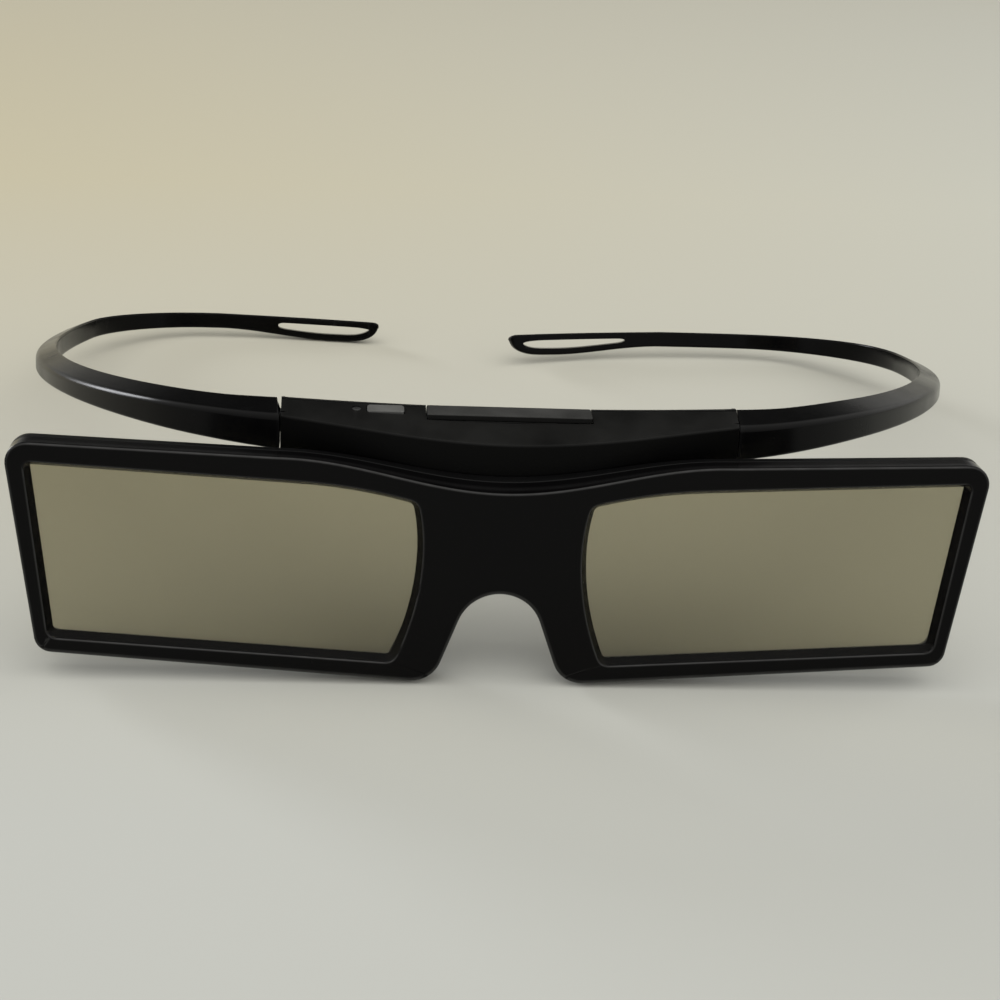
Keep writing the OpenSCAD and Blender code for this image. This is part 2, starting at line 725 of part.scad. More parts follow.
module brow_rear_cover() {
    half = concat(
        [[0, pocket_bottom], [pocket_half, pocket_bottom]],
        [for (i = [0 : edge_n]) let (x = pocket_half + (brow_half - pocket_half) * i / edge_n)
            [x, brow_under(x)]],
        [for (i = [edge_n : -1 : 0]) [brow_half * i / edge_n, brow_top(brow_half * i / edge_n)]]
    );
    last = len(half) - 1;
    outline = concat(half, [for (i = [last - 1 : -1 : 1]) [-half[i][0], half[i][1]]]);
    color([0.06, 0.06, 0.065]) on_brow() difference() {
        plate(outline, brow_back, cover_t);
        lip_seat();
        each_side() rod(cover_screw[0], cover_screw_x, brow_back - over, cover_screw_z, cover_t + 2 * over);
        each_side() rod(cover_screw[1], cover_screw_x, cover_back - cover_screw[2], cover_screw_z, cover_t);
    }
}

module main_board() {
    half = [[board_stem_half, board_foot], [board_stem_half, board_top - board_bar_h],
        [board_bar_half, board_top - board_bar_h], [board_bar_half, board_top]];
    outline = concat(half, [for (i = [3 : -1 : 0]) [-half[i][0], half[i][1]]]);
    color([0.05, 0.3, 0.15]) on_brow() difference() {
        plate(outline, board_y, board_t);
        each_side() rod(board_screw[0], board_screw_x, board_y - over, board_screw_z, board_t + 2 * over);
    }
}

// A part soldered to the front of the board
module on_front(part) {
    on_brow() block(part[0], part[1], board_y - part[0][1], board_top - part[2]);
}

module flex_connectors() {
    color([0.85, 0.82, 0.72]) stand() each_side() difference() {
        block(flex_connector, flex_x, board_y - flex_connector[1], flex_connector_z - flex_connector[2] / 2);
        block([flex_w, flex_t, flex_connector[2]], flex_x, flex_end_y - flex_t,
            flex_connector_z - flex_connector[2]);
    }
}

module radio_can() {
    color([0.75, 0.76, 0.78]) on_front(radio_can_at);
}

module controller_chip() {
    color([0.1, 0.1, 0.11]) on_front(controller_chip_at);
}

module boost_coil() {
    color([0.35, 0.33, 0.32]) on_front(boost_coil_at);
}

module crystal() {
    color([0.8, 0.8, 0.76]) on_front(crystal_at);
}

module chip_antenna() {
    color([0.9, 0.88, 0.8]) on_front(chip_antenna_at);
}

module tact_switch() {
    color([0.2, 0.2, 0.21]) on_brow() {
        block(switch_size, button_x, board_back, switch_top - switch_size[2]);
        translate([button_x, button_y, switch_top]) cylinder(h = plunger_h, r = plunger_r);
    }
}

module power_led() {
    color([0.9, 0.9, 0.8]) on_brow() block(led_size, led_x, board_back, led_z);
}

module light_pipe() {
    depth = pipe_y + pipe_r - board_back - led_size[1];
    color([0.75, 0.8, 0.8]) on_brow() {
        block([led_size[0], depth, led_size[2]], led_x, board_back + led_size[1], led_z);
        translate([led_x, pipe_y, led_z]) cylinder(h = brow_facet(led_x, pipe_y) - led_z, r = pipe_r);
    }
}

module power_button() {
    cap = [
        [button_front, button_flange_z], [button_back, button_flange_z],
        [button_back, brow_facet(button_x, button_back) + button_proud],
        [button_front, brow_facet(button_x, button_front) + button_proud]
    ];
    color([0.4, 0.4, 0.39]) on_brow() {
        bar(cap, button_x, button_l);
        block([button_l + 2 * button_flange, button_d, button_flange_t], button_x, button_front,
            button_flange_z);
        translate([button_x, button_y, button_foot])
            cylinder(h = button_stem + button_flange_t / 2, r = plunger_r);
    }
}

// A leaf spring on the back of the board, bowed towards the cell
module leaf_contact(x, w) {
    base = board_back;
    foot = cell_z - contact_arm;
    bend = foot + contact_foot;
    crown = tray_y - contact_gap;
    tail = crown - contact_dip;
    color([0.8, 0.68, 0.35]) on_brow() bar([
        [base, foot], [base + contact_t, foot], [base + contact_t, bend], [crown, cell_z],
        [tail, cell_z + contact_tail], [tail - contact_t, cell_z + contact_tail],
        [crown - 1.5 * contact_t, cell_z], [base, bend + contact_t]
    ], x, w);
}

module battery_contact_negative() {
    leaf_contact(0, contact_w);
}

module battery_contact_positive() {
    leaf_contact(cell_d / 2 - contact_edge, contact_edge_w);
}

module battery_tray() {
    lip_top = lip_bottom + lip_t + lip_rise;
    section = [
        [lip_front, lip_bottom], [lip_back, lip_bottom], [lip_back, lip_top - lip_chamfer],
        [lip_back - lip_chamfer, lip_top], [lip_front, lip_bottom + lip_t]
    ];
    color([0.1, 0.1, 0.1]) on_brow() difference() {
        union() {
            bar(section, lip_shift, lip_w);
            block([tray_w, tray_t, lip_bottom - tray_bottom], 0, tray_y, tray_bottom);
        }
        rod(cell_d / 2 + cell_clear, 0, tray_y - over, cell_z, cell_t + over);
        rod(window_hole_r, 0, tray_y, cell_z, tray_t + over);
    }
}

module coin_cell() {
    color([0.78, 0.79, 0.8]) on_brow() {
        rod(cell_d / 2, 0, tray_y + cell_step, cell_z, cell_t - cell_step);
        rod(cell_d / 2 - cell_rim, 0, tray_y, cell_z, cell_t / 2);
    }
}

// Outline of the slot in a loop, which keeps a bar's width from the loop's edges and has rounded ends
function slot_side(x0, m, up) = [for (i = [0 : slot_steps - 1]) let (
    u = -cos(180 * (i + (up > 0 ? 1 : 0)) / slot_steps),
    run = slot_end + slot_l * (1 + u) / 2,
    s = m[2] - run,
    half = (temple_h(s, m) / 2 - slot_bar) * sqrt(1 - pow(u, slot_square))
) [x0 + run, temple_mid(s, m) + up * half]];
function slot_outline(x0, m) = let (top = slot_side(x0, m, 1), low = slot_side(x0, m, -1))
    concat(low, [for (i = [slot_steps - 1 : -1 : 0]) top[i]]);

module temple(plan, rings, gap) {
    arcs = plan_arcs(plan);
    tip = plan_tip(arcs);
    cut = 2 * (slot_l * tan(abs(180 - arcs[4][2])) + back_t);
    color([0.07, 0.07, 0.075]) translate([gap, 0, 0]) difference() {
        union() {
            loft(rings);
            translate([brow_half - tongue_l, tongue_y - tongue_t / 2, tongue_z - tongue_h / 2])
                cube([tongue_l + tongue_root, tongue_t, tongue_h]);
        }
        translate([0, joint_y, joint_z]) rotate([-hoop_pitch(arcs, plan[6]), 0, 0])
            plate(slot_outline(tip[0], plan_marks(arcs)), tip[1] - back_t, cut);
    }
}

module temple_right() {
    on_brow() temple(right_plan, right_rings, right_gap);
}

module temple_left() {
    on_brow() mirror([1, 0, 0]) temple(left_plan, left_rings, left_gap);
}

// A pair of screws with their heads at depth y, pointing forwards
module screw_pair(screw, x, y, z, l) {
    color([0.6, 0.6, 0.62]) on_brow() each_side() difference() {
        union() {
            rod(screw[0], x, y - l, z, l);
            rod(screw[1], x, y, z, screw[2]);
        }
        block([2 * cross_r, screw[2], cross_w], x, y + screw[2] / 2, z - cross_w / 2);
        block([cross_w, screw[2], 2 * cross_r], x, y + screw[2] / 2, z - cross_r);
    }
}

module cover_screws() {
    screw_pair(cover_screw, cover_screw_x, cover_back - cover_screw[2], cover_screw_z,
        cover_screw_l - cover_screw[2]);
}

module bridge_screws() {
    screw_pair(bridge_screw, bridge_screw_x, brow_in_y, bridge_screw_z, bridge_screw_l);
}

module board_screws() {
    screw_pair(board_screw, board_screw_x, board_back, board_screw_z, board_screw_l);
}

front_frame();
rear_frame();
lens_left();
lens_right();
lens_gasket_left();
lens_gasket_right();
lens_flex_left();
lens_flex_right();
brow_housing();
brow_rear_cover();
main_board();
flex_connectors();
radio_can();
controller_chip();
boost_coil();
crystal();
chip_antenna();
tact_switch();
power_led();
light_pipe();
power_button();
battery_contact_negative();
battery_contact_positive();
battery_tray();
coin_cell();
temple_left();
temple_right();
cover_screws();
bridge_screws();
board_screws();
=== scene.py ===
"""Looks of a pair of active shutter 3-D glasses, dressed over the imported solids.

Shapes are worked out in the lens frame, in millimetres: x to the right, y back from the front face, z up from
the nose feet. The Stand class then leans them back on the table, in metres, where the solids are.
"""

import json
import logging
import math
from dataclasses import dataclass, field
from enum import Enum
from functools import cache

import bmesh
import bpy
import numpy as np
from mathutils import Matrix, Vector


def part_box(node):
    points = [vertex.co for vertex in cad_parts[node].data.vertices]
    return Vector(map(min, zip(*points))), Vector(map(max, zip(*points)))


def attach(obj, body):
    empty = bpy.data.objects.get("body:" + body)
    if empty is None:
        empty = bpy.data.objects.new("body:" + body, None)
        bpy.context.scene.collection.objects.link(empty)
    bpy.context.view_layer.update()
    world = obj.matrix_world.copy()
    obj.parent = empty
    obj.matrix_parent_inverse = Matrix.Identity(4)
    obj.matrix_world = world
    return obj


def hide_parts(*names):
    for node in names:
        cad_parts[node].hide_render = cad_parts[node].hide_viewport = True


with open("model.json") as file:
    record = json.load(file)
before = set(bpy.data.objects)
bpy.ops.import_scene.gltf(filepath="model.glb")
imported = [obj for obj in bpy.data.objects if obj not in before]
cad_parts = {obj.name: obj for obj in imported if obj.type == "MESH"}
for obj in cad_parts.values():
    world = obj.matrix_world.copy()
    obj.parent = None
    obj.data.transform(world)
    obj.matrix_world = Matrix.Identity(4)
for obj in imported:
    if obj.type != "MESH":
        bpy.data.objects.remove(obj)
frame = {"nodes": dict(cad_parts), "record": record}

Array = np.ndarray
Faces = list[list[int]]
Color = tuple[float, float, float]
log = logging.getLogger("glasses")
MM = 0.001
LEAN = math.radians(7.0)
SHARP = 34.0  # least angle of a sharp edge, in degrees
BACK, UP = (0.0, 1.0, 0.0), (0.0, 0.0, 1.0)

# Limits of the geometry
ROOM_SHARE = 0.45  # the most of an edge that one rounding takes
ARC_MIDDLE = 0.3  # what a quarter circle leaves of its radius at its middle
ROUND_STEPS = 6  # chords on a rounding of a section
SMALL_STEPS = 5  # chords on a smaller one
LEAST_BEND = 1e-3
MERGE = 1e-4
SLIVER = 1e-5
LEAST_STEP = 1e-6
TINY = 1e-9


class Body(Enum):
    """The bodies that pieces ride on."""

    GLASSES = "glasses"
    TRAY = "tray"
    LEFT = "left_temple"
    RIGHT = "right_temple"
    BUTTON = "button"


class Side(Enum):
    """The two sides of the glasses, as the sign of x."""

    LEFT = -1.0
    RIGHT = 1.0


# Geometry in whole arrays


def unit(v: Array) -> Array:
    """Vectors scaled to length 1."""
    return v / np.linalg.norm(v, axis=-1, keepdims=True)


def ease(a: Array) -> Array:
    """A smooth step from 0 to 1: 3t^2 - 2t^3 of the clipped value."""
    t = np.clip(a, 0.0, 1.0)
    return t * t * (3.0 - 2.0 * t)


def pair(first: Array, second: Array) -> Array:
    """Points from their two coordinates."""
    return np.stack([first, second], -1)


def fillet(corners: Array, radii: Array, steps: int) -> Array:
    """Closed polygons with each corner replaced by an arc that touches both of its edges.

    The arc's centre lies on the corner's bisector at r / sin(half angle), and its ends lie r / tan(half angle)
    from the corner. A radius is cut down where an edge has no room for it.

    Args:
        corners: polygons, as (..., k, 2).
        radii: radius of each corner, broadcast to (..., k).
        steps: chords on each arc.

    Returns:
        The rounded polygons, as (..., k * (steps + 1), 2).
    """
    before = np.roll(corners, 1, axis=-2) - corners
    after = np.roll(corners, -1, axis=-2) - corners
    room = ROOM_SHARE * np.minimum(np.linalg.norm(before, axis=-1), np.linalg.norm(after, axis=-1))
    u, w = unit(before), unit(after)
    half = np.arccos(np.clip((u * w).sum(-1), -1.0, 1.0)) / 2.0
    radius = np.minimum(np.broadcast_to(radii, half.shape), room * np.tan(half))
    middle = u + w
    length = np.linalg.norm(middle, axis=-1)
    straight = length < LEAST_BEND
    radius = np.where(straight, 0.0, radius)
    bisector = np.where(straight[..., None], 0.0, middle / np.maximum(length, TINY)[..., None])
    reach = (radius / np.tan(half))[..., None]
    centre = corners + bisector * (radius / np.sin(half))[..., None]
    start, end = corners + u * reach - centre, corners + w * reach - centre
    first = np.arctan2(start[..., 1], start[..., 0])
    turn = (np.arctan2(end[..., 1], end[..., 0]) - first + np.pi) % (2 * np.pi) - np.pi
    angle = first[..., None] + turn[..., None] * np.linspace(0.0, 1.0, steps + 1)
    arc = radius[..., None, None] * pair(np.cos(angle), np.sin(angle))
    return (centre[..., None, :] + arc).reshape(*corners.shape[:-2], -1, 2)


def corner(before: Array, at: Array, after: Array, radius: float, steps: int = 12) -> Array:
    """The arc that rounds one corner of an open outline, as (steps + 1, 2)."""
    triangle = np.array([before, at, after], float)
    return fillet(triangle, np.array([0.0, radius, 0.0]), steps)[steps + 1 : 2 * (steps + 1)]


def along(points: Array, shares: Array) -> Array:
    """Points at given shares of the length of an open outline."""
    run = np.concatenate([[0.0], np.cumsum(np.linalg.norm(np.diff(points, axis=0), axis=1))])
    return np.stack([np.interp(shares, run / run[-1], points[:, i]) for i in range(points.shape[1])], -1)


def outward(points: Array) -> Array:
    """Unit normals on the right of an open outline, which is outwards if it runs anticlockwise."""
    tangent = np.gradient(points, axis=0)
    return unit(pair(tangent[:, 1], -tangent[:, 0]))


def distinct(points: Array) -> Array:
    """A closed outline without points that repeat the one before them."""
    return points[np.linalg.norm(points - np.roll(points, 1, axis=0), axis=1) > LEAST_STEP]


def grid_quads(rows: int, cols: int, around: bool) -> Array:
    """Quads of a grid of points numbered row by row.

    Args:
        rows: number of rows.
        cols: number of points in a row.
        around: whether each row closes on itself.

    Returns:
        Point numbers, as (rows - 1, cols or cols - 1, 4).
    """
    i = np.arange(rows - 1)[:, None] * cols
    j = np.arange(cols if around else cols - 1)[None, :]
    k = (j + 1) % cols
    return np.stack([i + j, i + k, i + cols + k, i + cols + j], -1)


@dataclass
class Shell:
    """Points in millimetres in the lens frame, and the faces over them."""

    points: Array
    faces: Faces

    @staticmethod
    def loft(rings: Array) -> "Shell":
        """A skin over rows of closed rings, with flat ends.

        Args:
            rings: points of the rings, as (n, m, 3).

        Returns:
            The closed skin.
        """
        n, m = rings.shape[:2]
        faces = grid_quads(n, m, True).reshape(-1, 4).tolist()
        faces += [list(range(m))[::-1], list(range((n - 1) * m, n * m))]
        return Shell(rings.reshape(-1, 3), faces)

    @staticmethod
    def block(low: tuple, high: tuple, radius: float = 0.0, axis: int = 2, most_rim: float = 0.3) -> "Shell":
        """A block between two corners, with the edges along one axis rounded and its other edges eased.

        Args:
            low: lowest corner.
            high: highest corner.
            radius: radius of the edges along the axis.
            axis: the axis that the edges run along.
            most_rim: the most that the other edges are eased.

        Returns:
            The closed skin.
        """
        low, high = np.array(low, float), np.array(high, float)
        a, b = [i for i in range(3) if i != axis]
        square = np.array([[0, 0], [1, 0], [1, 1], [0, 1]], float) * (high - low)[[a, b]] + low[[a, b]]
        rim = min(radius, most_rim)
        insets = rim * np.array([1.0, ARC_MIDDLE, 0.0, 0.0, ARC_MIDDLE, 1.0])
        heights = low[axis] + rim * np.array([0.0, ARC_MIDDLE, 1.0])
        heights = np.concatenate([heights, low[axis] + high[axis] - heights[::-1]])
        centre = square.mean(0)
        shrink = 1.0 - 2.0 * insets[:, None] / (high - low)[[a, b]]
        outline = fillet(square, np.full(4, max(radius, MERGE)), SMALL_STEPS)
        rings = np.empty((len(insets), len(outline), 3))
        rings[..., [a, b]] = centre + (outline - centre) * shrink[:, None, :]
        rings[..., axis] = heights[:, None]
        return Shell.loft(rings)

    @staticmethod
    def lathe(profile: Array, centre: tuple, axis: Array, sides: int = 64) -> "Shell":
        """A profile of radius and height turned about an axis through a point.

        Args:
            profile: rows of radius and height, from one end to the other.
            centre: a point on the axis, at height 0.
            axis: direction of the axis.
            sides: points round the axis.

        Returns:
            The closed skin.
        """
        w = unit(np.array(axis, float))
        askew = [0.3, 0.5, 0.8]
        u = unit(np.cross(w, askew))
        v = np.cross(w, u)
        angle = np.linspace(0.0, 2 * np.pi, sides, endpoint=False)
        spoke = np.cos(angle)[:, None] * u + np.sin(angle)[:, None] * v
        rings = np.array(centre) + profile[:, 0, None, None] * spoke + profile[:, 1, None, None] * w
        return Shell.loft(rings)

    def mirrored(self) -> "Shell":
        """The same skin on the other side of the middle plane."""
        return Shell(self.points * [-1.0, 1.0, 1.0], [f[::-1] for f in self.faces])

    def joined(self, other: "Shell") -> "Shell":
        """Both skins as one.

        Args:
            other: the skin to add.

        Returns:
            The skin of both.
        """
        n = len(self.points)
        later = [[i + n for i in f] for f in other.faces]
        return Shell(np.concatenate([self.points, other.points]), self.faces + later)

    def to_object(self, name: str) -> bpy.types.Object:
        """A mesh object of the skin, with its doubles merged and its faces turned outwards.

        Args:
            name: the object's name.

        Returns:
            The object, linked to the scene.
        """
        mesh = bpy.data.meshes.new(name)
        mesh.from_pydata(self.points.tolist(), [], self.faces)
        made = bmesh.new()
        made.from_mesh(mesh)
        bmesh.ops.remove_doubles(made, verts=made.verts, dist=MERGE)
        bmesh.ops.dissolve_degenerate(made, edges=made.edges, dist=SLIVER)
        bmesh.ops.recalc_face_normals(made, faces=made.faces)
        made.to_mesh(mesh)
        made.free()
        piece = bpy.data.objects.new(name, mesh)
        bpy.context.scene.collection.objects.link(piece)
        return piece


class Cut(Enum):
    """What a tool shape does to the shape that it meets."""

    TAKE = "DIFFERENCE"
    ADD = "UNION"


def carve(piece: bpy.types.Object, tools: list[tuple[Shell, Cut]]) -> bpy.types.Object:
    """Takes tool shapes from a piece, or adds them to it, in order, and keeps the result as its mesh.

    Args:
        piece: the mesh object to work on.
        tools: each tool's skin, and what it does.

    Returns:
        The same object.
    """
    helpers = []
    for shell, cut in tools:
        helper = shell.to_object(f"{piece.name}_tool")
        modifier = piece.modifiers.new("carve", "BOOLEAN")
        modifier.object = helper
        modifier.operation = cut.value
        modifier.solver = "EXACT"
        helpers.append(helper)
    bpy.context.view_layer.update()
    result = bpy.data.meshes.new_from_object(piece.evaluated_get(bpy.context.evaluated_depsgraph_get()))
    piece.modifiers.clear()
    old, piece.data = piece.data, result
    bpy.data.meshes.remove(old)
    for helper in helpers:
        bpy.data.meshes.remove(helper.data)
    return piece


@dataclass(frozen=True)
class Stand:
    """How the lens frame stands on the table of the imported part."""

    lean: float
    shift: tuple[float, float, float]

    def place(self, points: Array) -> Array:
        """Points of the lens frame, in millimetres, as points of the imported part, in metres.

        The frame turns back about x by the lean, then moves to its place on the table.

        Args:
            points: points of the lens frame, as (..., 3).

        Returns:
            The same points on the table.
        """
        c, s = math.cos(self.lean), math.sin(self.lean)
        turn = np.array([[1.0, 0.0, 0.0], [0.0, c, s], [0.0, -s, c]])
        return (points @ turn.T + np.array(self.shift)) * MM

    def set_down(self, piece: bpy.types.Object, sharp: float = SHARP) -> bpy.types.Object:
        """Moves a mesh from the lens frame to the table and shades it smooth between its sharp edges.

        The attribute upward keeps how far each face looks up, for the dust that settles on it and for the painted sheen
        that lightens it.

        Args:
            piece: a mesh object in the lens frame.
            sharp: least angle of a sharp edge, in degrees.

        Returns:
            The same object.
        """
        mesh = piece.data
        points = np.empty(len(mesh.vertices) * 3, np.float32)
        mesh.vertices.foreach_get("co", points)
        placed = self.place(points.reshape(-1, 3).astype(float)).astype(np.float32)
        mesh.vertices.foreach_set("co", placed.ravel())
        mesh.update()
        mesh.shade_smooth()
        mesh.set_sharp_from_angle(angle=math.radians(sharp))
        facing = np.empty(len(mesh.loops) * 3, np.float32)
        mesh.corner_normals.foreach_get("vector", facing)
        upward = mesh.attributes.new("upward", "FLOAT", "CORNER")
        upward.data.foreach_set("value", np.clip(facing[2::3], 0.0, 1.0))
        weigh = piece.modifiers.new("flat_faces_first", "WEIGHTED_NORMAL")
        weigh.keep_sharp = True
        return piece


# Finishes


class NodeKit:
    """A short way to place and join shader nodes in one tree."""

    def __init__(self, tree: bpy.types.NodeTree) -> None:
        """Keeps the tree that the nodes go into."""
        self.tree = tree

    def add(self, kind: str, **values: object) -> bpy.types.Node:
        """A new node with properties, or with inputs whose names start with in_ and use _ for a space.

        Args:
            kind: the node's type, without ShaderNode in front.
            **values: properties by name, and inputs by in_ and their name or number.

        Returns:
            The node.
        """
        node = self.tree.nodes.new(f"ShaderNode{kind}")
        for name, value in values.items():
            if not name.startswith("in_"):
                setattr(node, name, value)
                continue
            key = name[3:].replace("_", " ")
            socket = node.inputs[int(key)] if key.isdigit() else node.inputs[key]
            if isinstance(value, bpy.types.NodeSocket):
                self.tree.links.new(value, socket)
            else:
                socket.default_value = value
        return node

    def math(self, operation: str, *values: object) -> bpy.types.NodeSocket:
        """The result of a Math node on numbers or sockets."""
        node = self.add("Math", operation=operation, **{f"in_{i}": v for i, v in enumerate(values)})
        return node.outputs[0]

    def spread(
        self, value: object, low: object, high: object, to_low: float = 0.0, to_high: float = 1.0,
    ) -> bpy.types.NodeSocket:
        """A value carried from one range to another and held inside it."""
        node = self.add("MapRange", in_0=value, in_1=low, in_2=high, in_3=to_low, in_4=to_high)
        return node.outputs[0]

    def place(self) -> bpy.types.NodeSocket:
        """The Object coordinates."""
        return self.add("TexCoord").outputs["Object"]

    def noise(self, at: object, scale: object, detail: float) -> bpy.types.NodeSocket:
        """The value of a noise."""
        return self.add("TexNoise", in_Vector=at, in_Scale=scale, in_Detail=detail).outputs[0]

    def link(self, value: bpy.types.NodeSocket, node: bpy.types.Node, name: str) -> None:
        """Joins a socket to a named input of a node."""
        self.tree.links.new(value, node.inputs[name])

    def mix(self, share: object, first: object, second: object) -> bpy.types.NodeSocket:
        """A colour between two colours, by share."""
        node = self.add("Mix", data_type="RGBA", in_0=share, in_6=first, in_7=second)
        return node.outputs[2]


class Effects:
    """Shader groups that several finishes share, each built once.

    Most constants are a range of noise, or of distance from the middle of a cell, over which an effect comes in,
    and what it comes to where that isn't 0 to 1. STROKES are the turns of the scratches and their squeeze.
    """

    SMEAR = (0.38, 0.66)
    HAIR = (0.66, 0.74)
    STROKES = (((0.5, 0.3, 0.4), (0.02, 1.0, 0.3)), ((-0.3, 0.5, -0.6), (0.03, 0.4, 1.0)))
    SPECK = (0.08, 0.2, 1.0, 0.0)
    BREAK = (0.35, 0.7, 0.7, 1.0)
    PATCH = (0.35, 0.65, 0.45, 1.0)
    FADE_END = 1.02

    @staticmethod
    def _group(name: str, inputs: dict[str, float], outputs: list[str]) -> tuple[NodeKit, dict, bpy.types.Node]:
        """An empty group with its sockets.

        Args:
            name: the group's name.
            inputs: number inputs and their values at the start.
            outputs: names of the number outputs.

        Returns:
            A kit for the group's nodes, its input sockets by name, and its output node.
        """
        tree = bpy.data.node_groups.new(name, "ShaderNodeTree")
        for key, value in inputs.items():
            tree.interface.new_socket(key, in_out="INPUT", socket_type="NodeSocketFloat").default_value = value
        for key in outputs:
            tree.interface.new_socket(key, in_out="OUTPUT", socket_type="NodeSocketFloat")
        entry = tree.nodes.new("NodeGroupInput")
        return NodeKit(tree), {key: entry.outputs[key] for key in inputs}, tree.nodes.new("NodeGroupOutput")

    @staticmethod
    @cache
    def handling() -> bpy.types.NodeTree:
        """Marks of handling on polished plastic: soft smears, hairline scratches and specks of dust.

        Smears are broad noise. Scratches are the crests of noise stretched along two slanting directions. Specks
        are the middles of a few cells of a cell pattern. All read Object coordinates.

        Returns:
            The group's tree.
        """
        kit, given, result = Effects._group(
            "handling", {"Smear Scale": 60.0, "Scratch Scale": 900.0, "Speck Scale": 420.0, "Speck Share": 0.03},
            ["Smear", "Scratch", "Speck"],
        )
        place = kit.place()
        smear = kit.noise(place, given["Smear Scale"], 3.0)
        kit.link(kit.spread(smear, *Effects.SMEAR), result, "Smear")
        lines = []
        for turn, squeeze in Effects.STROKES:
            turned = kit.add("Mapping", in_Vector=place, in_Rotation=turn, in_Scale=squeeze)
            hair = kit.noise(turned.outputs[0], given["Scratch Scale"], 2.0)
            lines.append(kit.spread(hair, *Effects.HAIR))
        kit.link(kit.math("MAXIMUM", *lines), result, "Scratch")
        cells = kit.add("TexVoronoi", in_Vector=place, in_Scale=given["Speck Scale"])
        drawn = kit.add("SeparateColor", in_0=cells.outputs["Color"]).outputs[0]
        chosen = kit.math("LESS_THAN", drawn, given["Speck Share"])
        near = kit.spread(cells.outputs["Distance"], *Effects.SPECK)
        kit.link(kit.math("MULTIPLY", near, chosen), result, "Speck")
        return kit.tree

    @staticmethod
    @cache
    def moulding() -> bpy.types.NodeTree:
        """Skin of a moulding: a fine spark-eroded grain over slow waves of shrinkage, as one height.

        Returns:
            The group's tree.
        """
        kit, given, result = Effects._group(
            "moulding", {"Grain Scale": 5000.0, "Wave Scale": 70.0, "Wave": 0.5}, ["Height"])
        place = kit.place()
        grain = kit.noise(place, given["Grain Scale"], 2.0)
        waves = kit.math("MULTIPLY", kit.noise(place, given["Wave Scale"], 1.0), given["Wave"])
        kit.link(kit.math("ADD", grain, waves), result, "Height")
        return kit.tree

    @staticmethod
    @cache
    def edges() -> bpy.types.NodeTree:
        """Rubbed edges: where the surface bends outwards within limits, a little broken up by noise.

        The effect is full from End to Fade, so that a finish can keep it to small roundings or to hard edges.

        Returns:
            The group's tree.
        """
        kit, given, result = Effects._group(
            "edges", {"Start": 0.53, "End": 0.62, "Fade": 2.0, "Break Scale": 400.0}, ["Wear"])
        bend = kit.add("NewGeometry").outputs["Pointiness"]
        rubbed = kit.spread(bend, given["Start"], given["End"])
        gone = kit.math("MULTIPLY", given["Fade"], Effects.FADE_END)
        within = kit.math("MULTIPLY", rubbed, kit.spread(bend, given["Fade"], gone, 1.0, 0.0))
        patchy = kit.spread(kit.noise(kit.place(), given["Break Scale"], 3.0), *Effects.BREAK)
        kit.link(kit.math("MULTIPLY", within, patchy), result, "Wear")
        return kit.tree

    @staticmethod
    @cache
    def dust_and_top_sheen() -> bpy.types.NodeTree:
        """A thin film of dust on faces that look up, which is also a painted sheen that lightens them as light from
        above would: the square of the mesh's upward attribute, in patches.

        Returns:
            The group's tree.
        """
        kit, given, result = Effects._group("dust_and_top_sheen", {"Patch Scale": 90.0}, ["Film"])
        upward = kit.add("Attribute", attribute_name="upward").outputs["Fac"]
        patch = kit.spread(kit.noise(kit.place(), given["Patch Scale"], 4.0), *Effects.PATCH)
        kit.link(kit.math("MULTIPLY", kit.math("MULTIPLY", upward, upward), patch), result, "Film")
        return kit.tree


def new_material(name: str) -> tuple[bpy.types.Material, NodeKit, bpy.types.Node]:
    """A material with nodes, a kit for its tree, and its Principled shader.

    Args:
        name: the material's name.
    """
    material = bpy.data.materials.new(name)
    material.use_nodes = True
    kit = NodeKit(material.node_tree)
    return material, kit, material.node_tree.nodes["Principled BSDF"]


